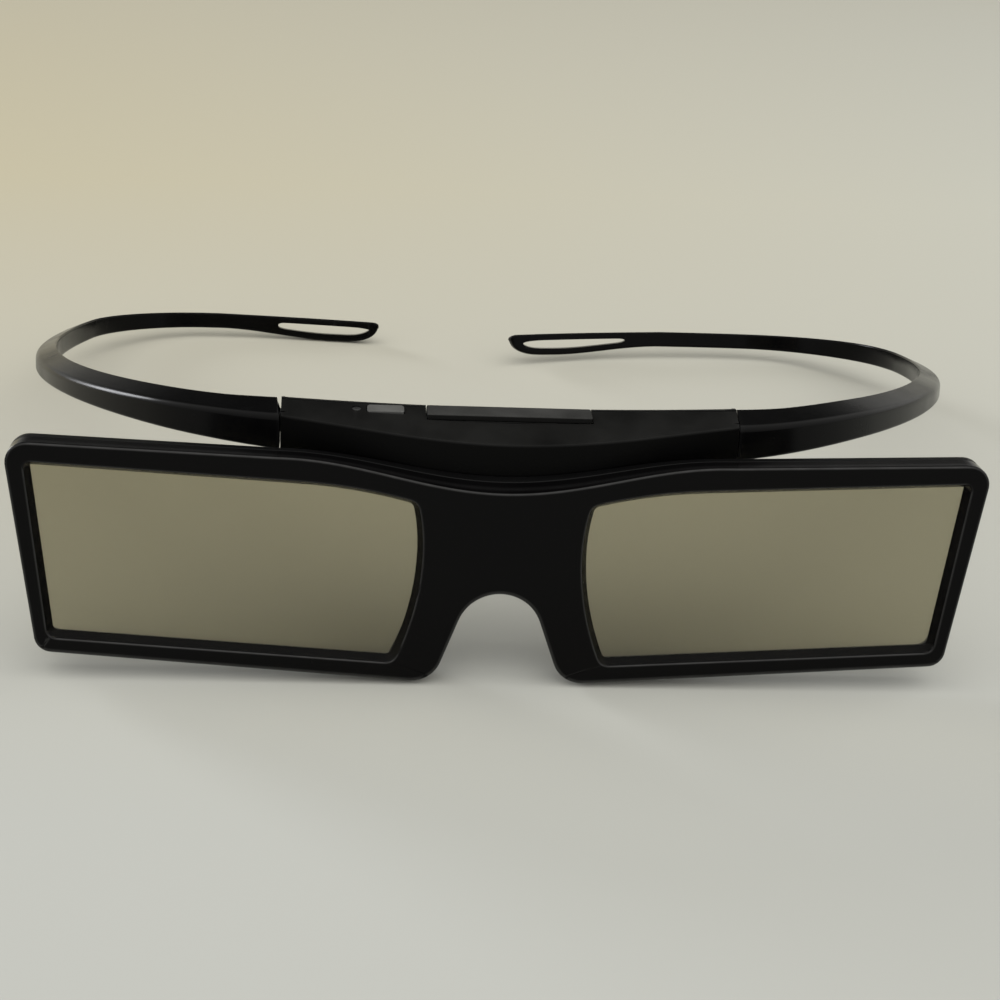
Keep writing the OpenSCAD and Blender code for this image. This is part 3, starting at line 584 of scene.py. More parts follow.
@dataclass(frozen=True)
class Plastic:
    """A moulded plastic, from polished to satin, with the marks of handling.

    The three values of edge_bend are where its rubbed edges start, are full and fade again.
    """

    name: str
    color: Color
    roughness: float
    smear: float = 0.1
    grain: float = 0.05
    grain_scale: float = 5000.0
    grain_depth: float = 0.0004
    wave: float = 0.5
    scratch: float = 0.06
    dust: float = 0.012
    dust_and_sheen_color: Color = (0.3, 0.3, 0.29)
    speck_cover: float = 0.15
    speck_rough: float = 0.4
    # lightens faces that look up: part dust, part painted sheen
    film: float = 0.02
    worn: float = 1.6
    worn_lift: float = 0.004
    edge_gloss: float = 0.0
    edge_rough: float = 0.1
    edge_bend: tuple[float, float, float] = (0.53, 0.62, 2.0)
    specular: float = 0.5
    ior: float = 1.5
    most_rough: float = 0.95

    def build(self) -> bpy.types.Material:
        """The material: colour lifted by dust, rubbed edges and a painted sheen on faces that look up, and gloss broken
        by smears and scratches.

        Returns:
            The material.
        """
        material, kit, shader = new_material(self.name)
        start, end, fade = self.edge_bend
        marks = kit.add("Group", node_tree=Effects.handling(), in_Speck_Share=self.dust)
        edges = kit.add("Group", node_tree=Effects.edges(), in_Start=start, in_End=end, in_Fade=fade)
        skin = kit.add("Group", node_tree=Effects.moulding(), in_Grain_Scale=self.grain_scale, in_Wave=self.wave)
        film = kit.add("Group", node_tree=Effects.dust_and_top_sheen())
        wear = edges.outputs["Wear"]
        rubbed = tuple(min(c * self.worn + self.worn_lift, 1.0) for c in self.color)
        tone = kit.mix(wear, (*self.color, 1.0), (*rubbed, 1.0))
        # The upward film is part dust and part painted sheen: it lightens faces that look up as light from above would.
        cover = kit.math("MULTIPLY", film.outputs["Film"], self.film)
        cover = kit.math("MULTIPLY_ADD", marks.outputs["Speck"], self.speck_cover, cover)
        kit.link(kit.mix(cover, tone, (*self.dust_and_sheen_color, 1.0)), shader, "Base Color")
        rough = self.roughness
        for mark, amount in (("Smear", self.smear), ("Scratch", self.scratch), ("Speck", self.speck_rough)):
            rough = kit.math("MULTIPLY_ADD", marks.outputs[mark], amount, rough)
        kit.link(kit.math("MINIMUM", rough, self.most_rough), shader, "Roughness")
        bump = kit.add("Bump", in_Strength=self.grain, in_Distance=self.grain_depth, in_Height=skin.outputs["Height"])
        kit.link(bump.outputs[0], shader, "Normal")
        kit.link(kit.math("MULTIPLY", wear, self.edge_gloss), shader, "Coat Weight")
        shader.inputs["Coat Roughness"].default_value = self.edge_rough
        shader.inputs["IOR"].default_value = self.ior
        shader.inputs["Specular IOR Level"].default_value = self.specular
        return material


@dataclass(frozen=True)
class SmokedGlass:
    """The shutter lens: a flat cell that lets about a third of the light through."""

    name: str
    color: Color
    roughness: float = 0.012
    smear: float = 0.01
    smear_scale: float = 45.0
    ior: float = 1.45

    def build(self) -> bpy.types.Material:
        """The material: tinted glass with faint smears, which also lets the light through its shadow.

        Returns:
            The material.
        """
        material, kit, shader = new_material(self.name)
        shader.inputs["Base Color"].default_value = (*self.color, 1.0)
        shader.inputs["Transmission Weight"].default_value = 1.0
        shader.inputs["IOR"].default_value = self.ior
        marks = kit.add("Group", node_tree=Effects.handling(), in_Smear_Scale=self.smear_scale)
        kit.link(kit.math("MULTIPLY_ADD", marks.outputs["Smear"], self.smear, self.roughness), shader, "Roughness")
        clear = kit.add("BsdfTransparent", in_Color=(*self.color, 1.0))
        shadow = kit.add("LightPath").outputs["Is Shadow Ray"]
        both = kit.add("MixShader", in_0=shadow, in_1=shader.outputs[0], in_2=clear.outputs[0])
        kit.link(both.outputs[0], kit.tree.nodes["Material Output"], "Surface")
        return material


@dataclass(frozen=True)
class Metal:
    """A plated or drawn metal with a fine brushed grain."""

    name: str
    color: Color
    roughness: float = 0.28
    rough_spread: float = 0.15
    lines: tuple[float, float] = (0.3, 0.7)
    dark: float = 0.8
    bump: float = 0.08
    bump_depth: float = 0.0002
    brushed: tuple[float, float, float] = (60.0, 4000.0, 4000.0)

    def build(self) -> bpy.types.Material:
        """The material: metal whose tone, gloss and height follow noise stretched along the brushing.

        Returns:
            The material.
        """
        material, kit, shader = new_material(self.name)
        turned = kit.add("Mapping", in_Vector=kit.place(), in_Scale=self.brushed)
        lines = kit.noise(turned.outputs[0], 1.0, 3.0)
        shade = kit.mix(lines, (*[c * self.dark for c in self.color], 1.0), (*self.color, 1.0))
        kit.link(shade, shader, "Base Color")
        shader.inputs["Metallic"].default_value = 1.0
        rough = kit.spread(lines, *self.lines, self.roughness, self.roughness + self.rough_spread)
        kit.link(rough, shader, "Roughness")
        bump = kit.add("Bump", in_Strength=self.bump, in_Distance=self.bump_depth, in_Height=lines)
        kit.link(bump.outputs[0], shader, "Normal")
        return material


# The film values lighten faces that look up: dust, and also a painted sheen, strongest on the button's top, the tray's
# lip and the brow's facet.
FINISHES = {
    "frame_gloss": Plastic("polished_black_frame", (0.0012, 0.0011, 0.0013), 0.1, smear=0.08, grain=0.012, wave=1.0,
                           specular=0.1, film=0.005, dust=0.004, edge_gloss=0.7,
                           edge_bend=(0.504, 0.514, 0.518)),
    "frame_matte": Plastic("satin_black_rear", (0.0014, 0.0014, 0.0016), 0.36, grain=0.1, specular=0.12, film=0.004),
    "lens": SmokedGlass("smoked_shutter_glass", (0.39, 0.362, 0.258)),
    "gasket": Plastic("black_foam", (0.012, 0.012, 0.012), 0.85, grain=0.5, grain_scale=9000.0),
    "flex": Plastic("amber_film", (0.42, 0.2, 0.04), 0.3),
    "brow": Plastic("satin_black_brow", (0.0008, 0.0008, 0.0008), 0.3, smear=0.1, grain=0.06, specular=0.07,
                    film=0.048, dust=0.002),
    "temple": Plastic("polished_black_temple", (0.0012, 0.0012, 0.0014), 0.16, smear=0.1, grain=0.02, wave=1.0,
                      specular=0.085, film=0.01, dust=0.004),
    "board": Plastic("green_solder_mask", (0.012, 0.1, 0.035), 0.35),
    "connector": Plastic("ivory_nylon", (0.7, 0.65, 0.52), 0.5),
    "can": Metal("plated_can", (0.62, 0.63, 0.65)),
    "chip": Plastic("chip_resin", (0.02, 0.02, 0.022), 0.55, grain=0.3),
    "ferrite": Plastic("sintered_ferrite", (0.05, 0.047, 0.045), 0.6, grain=0.4),
    "led": Plastic("clear_resin", (0.75, 0.72, 0.5), 0.2),
    "light_pipe": Plastic("frosted_light_pipe", (0.03, 0.03, 0.03), 0.3),
    "button": Plastic("satin_grey_button", (0.03, 0.03, 0.0295), 0.3, film=0.38),
    "contact": Metal("gilt_spring", (0.78, 0.58, 0.25)),
    "tray": Plastic("satin_black_tray", (0.0014, 0.0014, 0.0013), 0.5, grain=0.1, specular=0.08, film=0.19),
    "cell": Metal("drawn_cell_can", (0.66, 0.67, 0.68), brushed=(900.0, 900.0, 900.0)),
    "screw": Metal("plated_screw", (0.42, 0.42, 0.44)),
}


class Wardrobe:
    """The materials by record slot, each made when it is first worn."""

    def __init__(self) -> None:
        """Starts with nothing made."""
        self._made: dict[str, bpy.types.Material] = {}

    def dress(self, piece: bpy.types.Object, slot: str) -> None:
        """Puts the finish of a record slot on a piece.

        Args:
            piece: the mesh object.
            slot: the record's material slot.
        """
        if slot not in self._made:
            self._made[slot] = FINISHES[slot].build()
        piece.data.materials.clear()
        piece.data.materials.append(self._made[slot])


@dataclass
class Workshop:
    """What every sub-assembly needs: the stand and the wardrobe."""

    stand: Stand
    wardrobe: Wardrobe

    def deliver(self, piece: bpy.types.Object, node: str, slot: str, body: Body, sharp: float = SHARP) -> None:
        """Sets a piece down in place of a CAD node, dresses it and makes it ride.

        Args:
            piece: the mesh object, in the lens frame.
            node: the CAD node that it stands for.
            slot: the record's material slot.
            body: the body that it rides on.
            sharp: least angle of a sharp edge, in degrees.
        """
        self.stand.set_down(piece, sharp)
        self.wardrobe.dress(piece, slot)
        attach(piece, body.value)
        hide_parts(node)
        log.info("%s: %d faces, for %s", piece.name, len(piece.data.polygons), node)


# Sub-assemblies


@dataclass(frozen=True)
class Knot:
    """A point of the frame's section, on the window's edge or on the frame's outline.

    The shares are parts of the outline's rounding, which changes round the frame, and add to its offset and depth.
    """

    on_window: bool
    offset: float
    depth: float
    offset_share: float = 0.0
    depth_share: float = 0.0


@dataclass
class LensFrame:
    """The flat frame: a polished front half, a satin rear half, and the two lenses between them."""

    width: float = 156.6
    foot_width: float = 147.2
    end_h: float = 39.0
    foot_h: float = 4.1
    shoulder_h: float = 37.5
    bridge_h: float = 32.4
    dip_half: float = 36.0
    top_corner_r: float = 3.4
    foot_corner_r: float = 2.8
    arch_h: float = 15.25
    arch_r: float = 7.0
    arch_flare: float = 20.0
    nose_foot_r: float = 5.0
    nose_sink: float = 0.3
    window_in: float = 13.6
    window_out: float = 74.1
    window_slope: float = 3.1
    window_top_h: float = 34.9
    window_foot_h: float = 7.4
    window_nose_h: float = 4.1
    window_mid_h: float = 22.5
    window_bow: float = 5.35
    window_bow_low: float = 3.7
    window_bow_h: float = 18.0
    window_corner: float = 0.8
    window_ease: float = 32.0
    window_fall: float = 2.1
    window_top_slope: float = 0.052
    window_nose_r: float = 1.2
    window_foot_r: float = 0.8
    window_top_r: float = 0.15
    reveal: float = 1.7
    bevel: float = 0.9
    bevel_r: float = 0.3
    lens_rim: float = 1.4
    lens_clear: float = 0.1
    lens_t: float = 1.6
    gasket_t: float = 0.3
    gasket_in: float = 0.5
    rear_t: float = 2.0
    rear_bevel: float = 0.7
    top_edge_r: float = 0.35
    foot_edge_r: float = 0.75
    rear_edge_r: float = 0.5
    ramp_rise: float = 1.3
    ramp_front: float = 0.8
    parting: float = 0.12
    seam_inset: float = 2.0
    seam_h: tuple[float, float] = (27.0, 20.0)
    dip_split: float = 3.0
    window_reach: float = 1.6
    face_reach: float = 4.0
    face_land: float = 0.35
    edge_land: float = 0.2
    rear_land: float = 0.3
    rear_step: float = 0.05
    half_gap: float = 0.02
    lens_soft: float = 0.15
    lens_ring: float = 0.6
    ramp_facing: float = 0.5
    arch_count: int = 20
    dip_count: int = 24
    window_counts: tuple[int, int, int] = (40, 12, 30)
    edge_counts: tuple[int, int] = (9, 7)
    run_counts: tuple[int, ...] = (52, 34, 60, 20, 8, 40)
    fine_count: int = 600

    @property
    def front_t(self) -> float:
        """Depth of the front half."""
        return self.reveal + self.lens_t + self.gasket_t

    @property
    def depth(self) -> float:
        """Depth of both halves."""
        return self.front_t + self.rear_t

    def dip(self, x: Array) -> Array:
        """Share of the dip's rise at a distance from the middle: half a cosine wave."""
        return (1.0 - np.cos(np.pi * np.minimum(np.abs(x) / self.dip_half, 1.0))) / 2.0

    def top_edge(self, x: Array) -> Array:
        """Height of the frame's top edge inside the dip."""
        return self.bridge_h + (self.shoulder_h - self.bridge_h) * self.dip(x)

    def ramp(self, x: Array, y: Array) -> Array:
        """Rise of the dip's top face towards the brow, which is greatest in the middle."""
        share = np.clip((y - self.ramp_front) / (self.depth - self.ramp_front), 0.0, 1.0)
        return self.ramp_rise * (1.0 - self.dip(x)) * share

    def window_inner(self, z: Array) -> Array:
        """The window's inner edge: two half parabolas that bow towards the nose, the lower one flatter."""
        bow = np.where(z < self.window_mid_h, self.window_bow_low, self.window_bow)
        return self.window_in + bow * ((z - self.window_mid_h) / self.window_bow_h) ** 2

    def window_top(self, x: Array) -> Array:
        """The window's top edge: a straight slope that falls as a parabola near the nose."""
        fall = np.maximum(self.window_ease - x, 0.0) / (self.window_ease - self.window_in)
        return self.window_top_h - self.window_top_slope * (self.window_out - x) - self.window_fall * fall**2

    def on_inner(self, z: float) -> Array:
        """The point of the window's inner edge at a height."""
        return np.array([float(self.window_inner(np.array(z))), z])

    def on_top(self, x: float) -> Array:
        """The point of the window's top edge at a distance from the middle."""
        return np.array([x, float(self.window_top(np.array(x)))])

    def outline_runs(self) -> list[Array]:
        """The right half of the frame's outline, anticlockwise, in six runs.

        They are the bottom edge, the outer side, the top edge, the dip, the middle seam and the arch. Corners
        are split at the middle of their arcs.

        Returns:
            The points of each run, as (n, 2).
        """
        flare = math.radians(self.arch_flare)
        centre_h = self.arch_h - self.arch_r
        angle = np.linspace(np.pi / 2, flare, self.arch_count)
        arch = pair(self.arch_r * np.cos(angle), centre_h + self.arch_r * np.sin(angle))
        drop = arch[-1, 1] + self.nose_sink
        nose = np.array([arch[-1, 0] + drop * math.tan(flare), -self.nose_sink])
        foot = np.array([self.foot_width / 2, self.foot_h])
        top = np.array([self.width / 2, self.end_h])
        shoulder = np.array([self.dip_half, self.shoulder_h])
        nose_arc = corner(arch[-1], nose, foot, self.nose_foot_r)
        foot_arc = corner(nose, foot, top, self.foot_corner_r)
        top_arc = corner(foot, top, shoulder, self.top_corner_r)
        split = self.window_in + self.dip_split
        far, near = (np.linspace(*ends, self.dip_count) for ends in ((self.dip_half, split), (split, 0.0)))
        middle = len(nose_arc) // 2
        seam = [[0.0, self.bridge_h - self.seam_inset], [0.0, self.arch_h + self.seam_inset]]
        return [
            np.concatenate([nose_arc[middle:], foot_arc[: middle + 1]]),
            np.concatenate([foot_arc[middle:], top_arc[: middle + 1]]),
            np.concatenate([top_arc[middle:], pair(far, self.top_edge(far))]),
            pair(near, self.top_edge(near)),
            np.array(seam),
            np.concatenate([arch, nose_arc[: middle + 1]]),
        ]

    def window_runs(self) -> list[Array]:
        """The right window's outline, anticlockwise, in the runs that face those of the frame's outline.

        Returns:
            The points of each run, as (n, 2).
        """
        reach, low = self.window_reach, self.window_nose_h
        corner_x = float(self.window_inner(self.window_top(np.array(self.window_in + self.window_corner))))
        a, b = self.on_inner(low), self.on_top(corner_x)
        c = np.array([self.window_out, self.window_top_h])
        d = np.array([self.window_out - self.window_slope, self.window_foot_h])
        near_a, near_b = self.on_inner(low + reach), self.on_inner(b[1] - reach)
        over_b, before_c = self.on_top(corner_x + reach), self.on_top(self.window_out - reach)
        a_arc, d_arc = corner(near_a, a, d, self.window_nose_r), corner(a, d, c, self.window_foot_r)
        c_arc, b_arc = corner(d, c, before_c, self.window_top_r), corner(over_b, b, near_b, self.window_nose_r)
        middle = len(a_arc) // 2
        over, short, long = self.window_counts
        x = np.linspace(self.window_out - reach, corner_x + reach, over)
        upper = np.linspace(b[1] - reach, self.seam_h[0], short)
        centre = np.linspace(*self.seam_h, short)
        lower = np.linspace(self.seam_h[1], low + reach, long)
        return [
            np.concatenate([a_arc[middle:], d_arc[: middle + 1]]),
            np.concatenate([d_arc[middle:], c_arc[: middle + 1]]),
            np.concatenate([c_arc[middle:], pair(x, self.window_top(x)), b_arc[: middle + 1]]),
            np.concatenate([b_arc[middle:], pair(self.window_inner(upper), upper)]),
            pair(self.window_inner(centre), centre)[1:-1],
            np.concatenate([pair(self.window_inner(lower), lower), a_arc[: middle + 1]]),
        ]

    def matched(self) -> tuple[Array, Array, Array, Array, Array]:
        """Points round the window and the points of the frame's outline that face them.

        Returns:
            Window points, window normals, outline points, outline normals, and a mask of the middle seam. The
            normals of the seam are zero, so that no rounding is carried along it.
        """
        dip_run, seam_run = 3, 4
        rows = []
        for number, (edge, window, count) in enumerate(zip(self.outline_runs(), self.window_runs(), self.run_counts)):
            shares = (1.0 - np.cos(np.linspace(0.0, np.pi, count))) / 2.0
            fine = np.linspace(0.0, 1.0, self.fine_count)
            normal = outward(along(edge, fine))
            normal = unit(np.stack([np.interp(shares, fine, normal[:, i]) for i in (0, 1)], -1))
            seam = np.full(count, number == seam_run)
            keep = slice(None) if number in (dip_run, seam_run) else slice(0, -1)
            rows.append([p[keep] for p in (along(window, shares), along(edge, shares), normal, seam)])
        window, edge, edge_n, seam = (np.concatenate(column) for column in zip(*rows))
        chord = np.roll(window, -1, axis=0) - np.roll(window, 1, axis=0)
        window_n = unit(pair(chord[:, 1], -chord[:, 0]))
        edge_n[seam] = 0.0
        ends = np.abs(edge[:, 0]) < TINY
        edge_n[ends & ~seam] = np.sign(edge_n[ends & ~seam]) * [0.0, 1.0]
        return window, window_n, edge, edge_n, seam

    def half_shell(self, profile: list[Knot], rounded: slice, radii: tuple[float, float]) -> Shell:
        """Carries a section round a window and closes the two halves at the middle.

        Each knot lies on the window or on the outline, moved along its normal by an offset and back by a depth:
        P(u, j) = C_j(u) + d_j(u) N_j(u). The rounding goes from one radius where the outline faces up to another
        where it faces down. In the dip, the knots on the outline also rise by the ramp.

        Args:
            profile: the section's knots.
            rounded: the knots on the frame's outer side, which has no faces at the seam.
            radii: rounding of the top edge and of the bottom edge.

        Returns:
            The whole frame's skin.
        """
        window, window_n, edge, edge_n, seam = self.matched()
        on_window = np.array([knot.on_window for knot in profile])
        radius = radii[0] + (radii[1] - radii[0]) * np.clip(-edge_n[:, 1:], 0.0, 1.0)
        offset = np.array([knot.offset for knot in profile]) + radius * [knot.offset_share for knot in profile]
        depth = np.array([knot.depth for knot in profile]) + radius * [knot.depth_share for knot in profile]
        base = np.where(on_window[None, :, None], window[:, None], edge[:, None])
        normal = np.where(on_window[None, :, None], window_n[:, None], edge_n[:, None])
        flat = base + normal * offset[..., None]
        ramped = (edge_n[:, 1:] > self.ramp_facing) & ~on_window
        flat[..., 1] += np.where(ramped, self.ramp(edge[:, :1], depth), 0.0)
        count, length = flat.shape[:2]
        points = np.empty((count + 1, length, 3))
        points[:-1, :, [0, 2]] = flat
        points[:-1, :, 1] = depth
        points[-1] = points[0]
        quads = grid_quads(count + 1, length, True)
        middle = np.abs(edge[:, 0]) < TINY
        meeting = middle & np.roll(middle, -1)
        side = np.zeros(length, bool)
        side[rounded] = True
        keep = ~(meeting[:, None] & side[None, :])
        half = Shell(points.reshape(-1, 3), quads[keep].tolist())
        return half.joined(half.mirrored())

    def front_half(self) -> Shell:
        """The front half, whose section is the bevelled reveal, flat face, rounded edge, side, back and lens seat.

        Returns:
            The closed skin of both sides.
        """
        inner, front, face = np.array([[0.0, self.reveal], [self.bevel, 0.0], [self.face_reach, 0.0]])
        lip = corner(inner, front, face, self.bevel_r, SMALL_STEPS)
        profile = [Knot(True, 0.0, self.reveal)] + [Knot(True, float(d), float(y)) for d, y in lip]
        profile.append(Knot(True, self.bevel + self.face_land, 0.0))
        first = len(profile)
        profile.append(Knot(False, -self.edge_land, 0.0, -1.0, 0.0))
        for angle in np.linspace(0.0, np.pi / 2, self.edge_counts[0]):
            profile.append(Knot(False, 0.0, 0.0, math.sin(angle) - 1.0, 1.0 - math.cos(angle)))
        profile += [Knot(False, 0.0, self.ramp_front), Knot(False, 0.0, self.front_t - self.parting)]
        profile.append(Knot(False, -self.parting, self.front_t))
        last = len(profile) - 1
        profile += [Knot(True, self.lens_rim, self.front_t), Knot(True, self.lens_rim, self.reveal)]
        return self.half_shell(profile, slice(first, last), (self.top_edge_r, self.foot_edge_r))

    def rear_half(self) -> Shell:
        """The rear half, whose section is the front, side, rounded back edge, flat back and bevelled opening.

        Returns:
            The closed skin of both sides.
        """
        start = self.front_t + self.half_gap
        profile = [Knot(True, self.gasket_in, start)]
        first = len(profile)
        profile += [Knot(False, -self.parting, start), Knot(False, 0.0, start + self.parting)]
        for angle in np.linspace(0.0, np.pi / 2, self.edge_counts[1]):
            profile.append(Knot(False, 0.0, self.depth, math.cos(angle) - 1.0, math.sin(angle) - 1.0))
        profile.append(Knot(False, -self.edge_land, self.depth, -1.0, 0.0))
        last = len(profile) - 1
        out = self.gasket_in + self.rear_bevel
        profile += [Knot(True, out + self.rear_land, self.depth), Knot(True, out, self.depth - self.rear_step)]
        return self.half_shell(profile, slice(first, last), (self.rear_edge_r, self.rear_edge_r))

    def lens_shell(self) -> Shell:
        """The right lens: the window's outline moved out under the rim, with eased edges and flat faces.

        Rings shrink to the middle of each face as shares of the way to the outline.

        Returns:
            The closed skin.
        """
        window, window_n, _, _, _ = self.matched()
        reach, soft, part = self.lens_rim - self.lens_clear, self.lens_soft, self.lens_ring
        front, back = self.reveal, self.reveal + self.lens_t
        middle = window.mean(0)
        rows = [(0.0, -soft, front), (part, -soft, front), (1.0, -soft, front), (1.0, 0.0, front + soft),
                (1.0, 0.0, back - soft), (1.0, -soft, back), (part, -soft, back), (0.0, -soft, back)]
        rings = np.empty((len(rows), len(window), 3))
        for ring, (share, inset, depth) in zip(rings, rows):
            ring[:, [0, 2]] = middle + share * (window + window_n * (reach + inset) - middle)
            ring[:, 1] = depth
        return Shell.loft(rings)

    def build(self, shop: Workshop) -> None:
        """Makes the front, the rear and both lenses.

        Args:
            shop: the workshop that sets pieces down and dresses them.
        """
        shop.deliver(self.front_half().to_object("frame_front"), "front_frame", "frame_gloss", Body.GLASSES)
        shop.deliver(self.rear_half().to_object("frame_rear"), "rear_frame", "frame_matte", Body.GLASSES)
        lens = self.lens_shell()
        shop.deliver(lens.to_object("shutter_lens_right"), "lens_right", "lens", Body.GLASSES)
        shop.deliver(lens.mirrored().to_object("shutter_lens_left"), "lens_left", "lens", Body.GLASSES)


@dataclass
class Brow:
    """The brow over the bridge: housing, rear cover, battery tray with its cell, and power button."""

    lens_frame: LensFrame
    shift: float = 1.4
    half: float = 37.2
    top_h: float = 42.2
    top_rise: float = 0.9
    crease_h: float = 38.7
    crease_end_h: float = 41.2
    sweep: float = 5.0
    flat: float = 13.0
    wall: float = 1.2
    back: float = 14.45
    cover_t: float = 1.2
    joint_h: float = 7.6
    lap: float = 3.9
    crease_r: float = 0.55
    end_r: float = 0.12
    lip_w: float = 26.9
    lip_shift: float = -0.3
    lip_t: float = 0.85
    lip_rise: float = 0.5
    lip_sink: float = 1.1
    lip_front: float = 11.0
    lip_side_clear: float = 0.1
    lip_front_clear: float = 0.15
    lip_seat_clear: float = 0.1
    tray_front: float = 11.3
    tray_t: float = 2.9
    tray_w: float = 22.2
    tray_bottom: float = 19.7
    tray_clear: float = 0.15
    pocket_wall: float = 1.1
    cell_r: float = 10.0
    cell_t: float = 2.5
    cell_clear: float = 0.15
    cell_z: float = 30.45
    cell_hole_r: float = 5.0
    socket_l: float = 8.6
    socket_wall: float = 2.0
    socket_y: tuple[float, float] = (11.35, 13.95)
    socket_z: tuple[float, float] = (38.1, 41.7)
    button_x: float = -20.4
    button_y: float = 12.8
    button_l: float = 6.0
    button_d: float = 2.0
    button_clear: float = 0.12
    button_proud: float = 0.3
    button_foot: float = 39.05
    button_flange: float = 0.5
    pipe_x: float = -25.1
    pipe_r: float = 0.7
    pipe_foot: float = 36.5
    screw_x: float = 30.0
    screw_rise: float = 2.1
    screw_r: float = 1.45
    screw_head: float = 0.8
    under_r: float = 0.25
    seat_r: tuple[float, float, float] = (0.12, 0.08, 0.08)
    top_r: float = 0.2
    back_r: float = 0.1
    flat_y: float = 13.2
    end_draw: float = 2.5
    floor_clear: float = 0.2
    pocket_top: float = 37.1
    pocket_step: float = 34.1
    pocket_r: float = 0.6
    cut_past: float = 3.0
    cut_top: float = 45.0
    hollow_past: float = 1.0
    socket_past: float = 2.0
    button_hole: tuple[float, float] = (38.0, 46.0)
    button_hole_r: float = 0.5
    button_r: float = 0.45
    button_rim: tuple[tuple[float, float], ...] = ((1.0, 0.22), (0.99, 0.09), (0.95, 0.02), (0.88, 0.0))
    flange_rise: float = 0.8
    flange_lap: float = 0.4
    flange_t: float = 0.5
    flange_r: float = 0.2
    pipe_clear: float = 0.05
    pipe_cut: float = 12.0
    cover_r: tuple[float, float] = (1.2, 1.5)
    cover_gap: float = 0.02
    cover_soft: float = 0.05
    cover_edge: float = 0.45
    cover_land: float = 0.6
    lip_back: float = 0.3
    lip_chamfer: float = 0.4
    lip_radii: tuple[float, ...] = (0.1, 0.12, 0.2, 0.3, 0.16)
    lip_soft: float = 0.18
    lip_draw: float = 0.6
    tray_lap: float = 0.3
    tray_r: float = 0.5
    tray_past: float = 1.0
    cell_front: tuple[tuple[float, float], ...] = (
        (1.75, 0.0), (1.62, 0.06), (1.6, 0.2), (1.3, 0.2), (1.15, 0.16), (0.35, 0.17), (0.1, 0.26), (0.0, 0.5))
    cell_rear: tuple[tuple[float, float], ...] = ((0.0, 0.35), (0.1, 0.1), (0.35, 0.0))
    pin: tuple[tuple[float, float], ...] = ((0.0, 0.0), (0.7, 0.0), (0.8, 0.1), (0.8, 1.0))
    end_count: int = 60
    seat_count: int = 57
    hollow_count: int = 41
    cover_count: int = 24
    cell_sides: int = 96
    opening_sides: int = 64
    screw_sides: int = 48
    pipe_sides: int = 40
    pin_sides: int = 32
    sharp: float = 30.0
    cell_sharp: float = 40.0

    @property
    def cover_back(self) -> float:
        """Depth of the cover's back face."""
        return self.back + self.cover_t

    @property
    def lip_bottom(self) -> float:
        """Height of the lip's underside."""
        return self.top_h - self.lip_sink

    @property
    def joint_top(self) -> float:
        """Height of the brow's top edge at a temple joint."""
        return self.top_h + self.top_rise

    def face(self, x: Array) -> Array:
        """Depth of the front facet: flat in the middle, then a parabola that sweeps back."""
        run = np.maximum(np.abs(x) - self.flat, 0.0) / (self.half - self.flat)
        return self.lens_frame.depth + self.sweep * run**2

    def crease(self, x: Array) -> Array:
        """Height of the crease, which follows the dip of the frame."""
        return self.crease_h + (self.crease_end_h - self.crease_h) * self.lens_frame.dip(x)

    def under(self, x: Array) -> Array:
        """Height of the underside: a parabola from the bridge up to the joints."""
        low = self.lens_frame.bridge_h - self.lap
        return low + (self.joint_top - self.joint_h - low) * (x / self.half) ** 2

    def top(self, x: Array) -> Array:
        """Height of the back top edge: a parabola that rises to the joints."""
        return self.top_h + self.top_rise * (x / self.half) ** 2

    def facet(self, x: Array, y: Array) -> Array:
        """Height of the upper facet, which is straight from the crease to the back top edge."""
        face, crease = self.face(x), self.crease(x)
        return crease + (self.top(x) - crease) * (y - face) / (self.back - face)

    def deliver(self, shop: Workshop, piece: bpy.types.Object, node: str, slot: str, body: Body, sharp: float) -> None:
        """Moves a piece with the brow to its place beside the frame's middle, and delivers it."""
        piece.data.transform(Matrix.Translation((self.shift, 0.0, 0.0)))
        shop.deliver(piece, node, slot, body, sharp)

    def housing_rings(self) -> Array:
        """Rings of the housing's outside, along x, with the tray lip's seat cut from the back of its top.

        The section has six corners: under front, crease, seat front top, seat front bottom, back top and under
        back. Outside the seat its two corners lie on the facet. At each end the last rings draw in.

        Returns:
            The rings, as (n, m, 3).
        """
        seat = self.lip_w / 2 + self.lip_side_clear
        tip = self.half - self.end_r * np.array([0.0, ARC_MIDDLE, 1.0])
        left = np.concatenate([-tip, np.linspace(-tip[-1], self.lip_shift - seat, self.end_count)[1:]])
        right = np.concatenate([np.linspace(self.lip_shift + seat, tip[-1], self.end_count)[:-1], tip[::-1]])
        inner = self.lip_shift + np.linspace(-seat, seat, self.seat_count)
        x = np.concatenate([left, inner, right])
        seated = np.concatenate([np.zeros(len(left)), np.ones(len(inner)), np.zeros(len(right))])[:, None]
        seat_y = self.lip_front - self.lip_front_clear
        seat_z = self.lip_bottom - self.lip_seat_clear
        face, under = self.face(x), self.under(x)
        flat_y, seat_front = np.full_like(x, self.flat_y), np.full_like(x, seat_y)
        back = np.full_like(x, self.back)
        open_ = np.stack([
            pair(face, under), pair(face, self.crease(x)), pair(seat_front, self.facet(x, seat_front)),
            pair(flat_y, self.facet(x, flat_y)), pair(back, self.top(x)), pair(back, under)], 1)
        cut = open_.copy()
        cut[:, 3] = [seat_y, seat_z]
        cut[:, 4, 1] = seat_z
        corners = np.where(seated[..., None] > 0, cut, open_)
        seated_r = [self.under_r, self.crease_r, *self.seat_r, self.back_r]
        plain_r = [self.under_r, self.crease_r, 0.0, 0.0, self.top_r, self.back_r]
        section = fillet(corners, np.where(seated > 0, seated_r, plain_r), ROUND_STEPS)
        centre = section.mean(1, keepdims=True)
        inset = np.maximum(self.end_r - (self.half - np.abs(x)), 0.0)
        inset = self.end_r - np.sqrt(np.maximum(self.end_r**2 - inset**2, 0.0))
        section = centre + (section - centre) * (1.0 - inset / self.end_draw)[:, None, None]
        return np.concatenate([np.broadcast_to(x[:, None, None], (*section.shape[:2], 1)), section], -1)

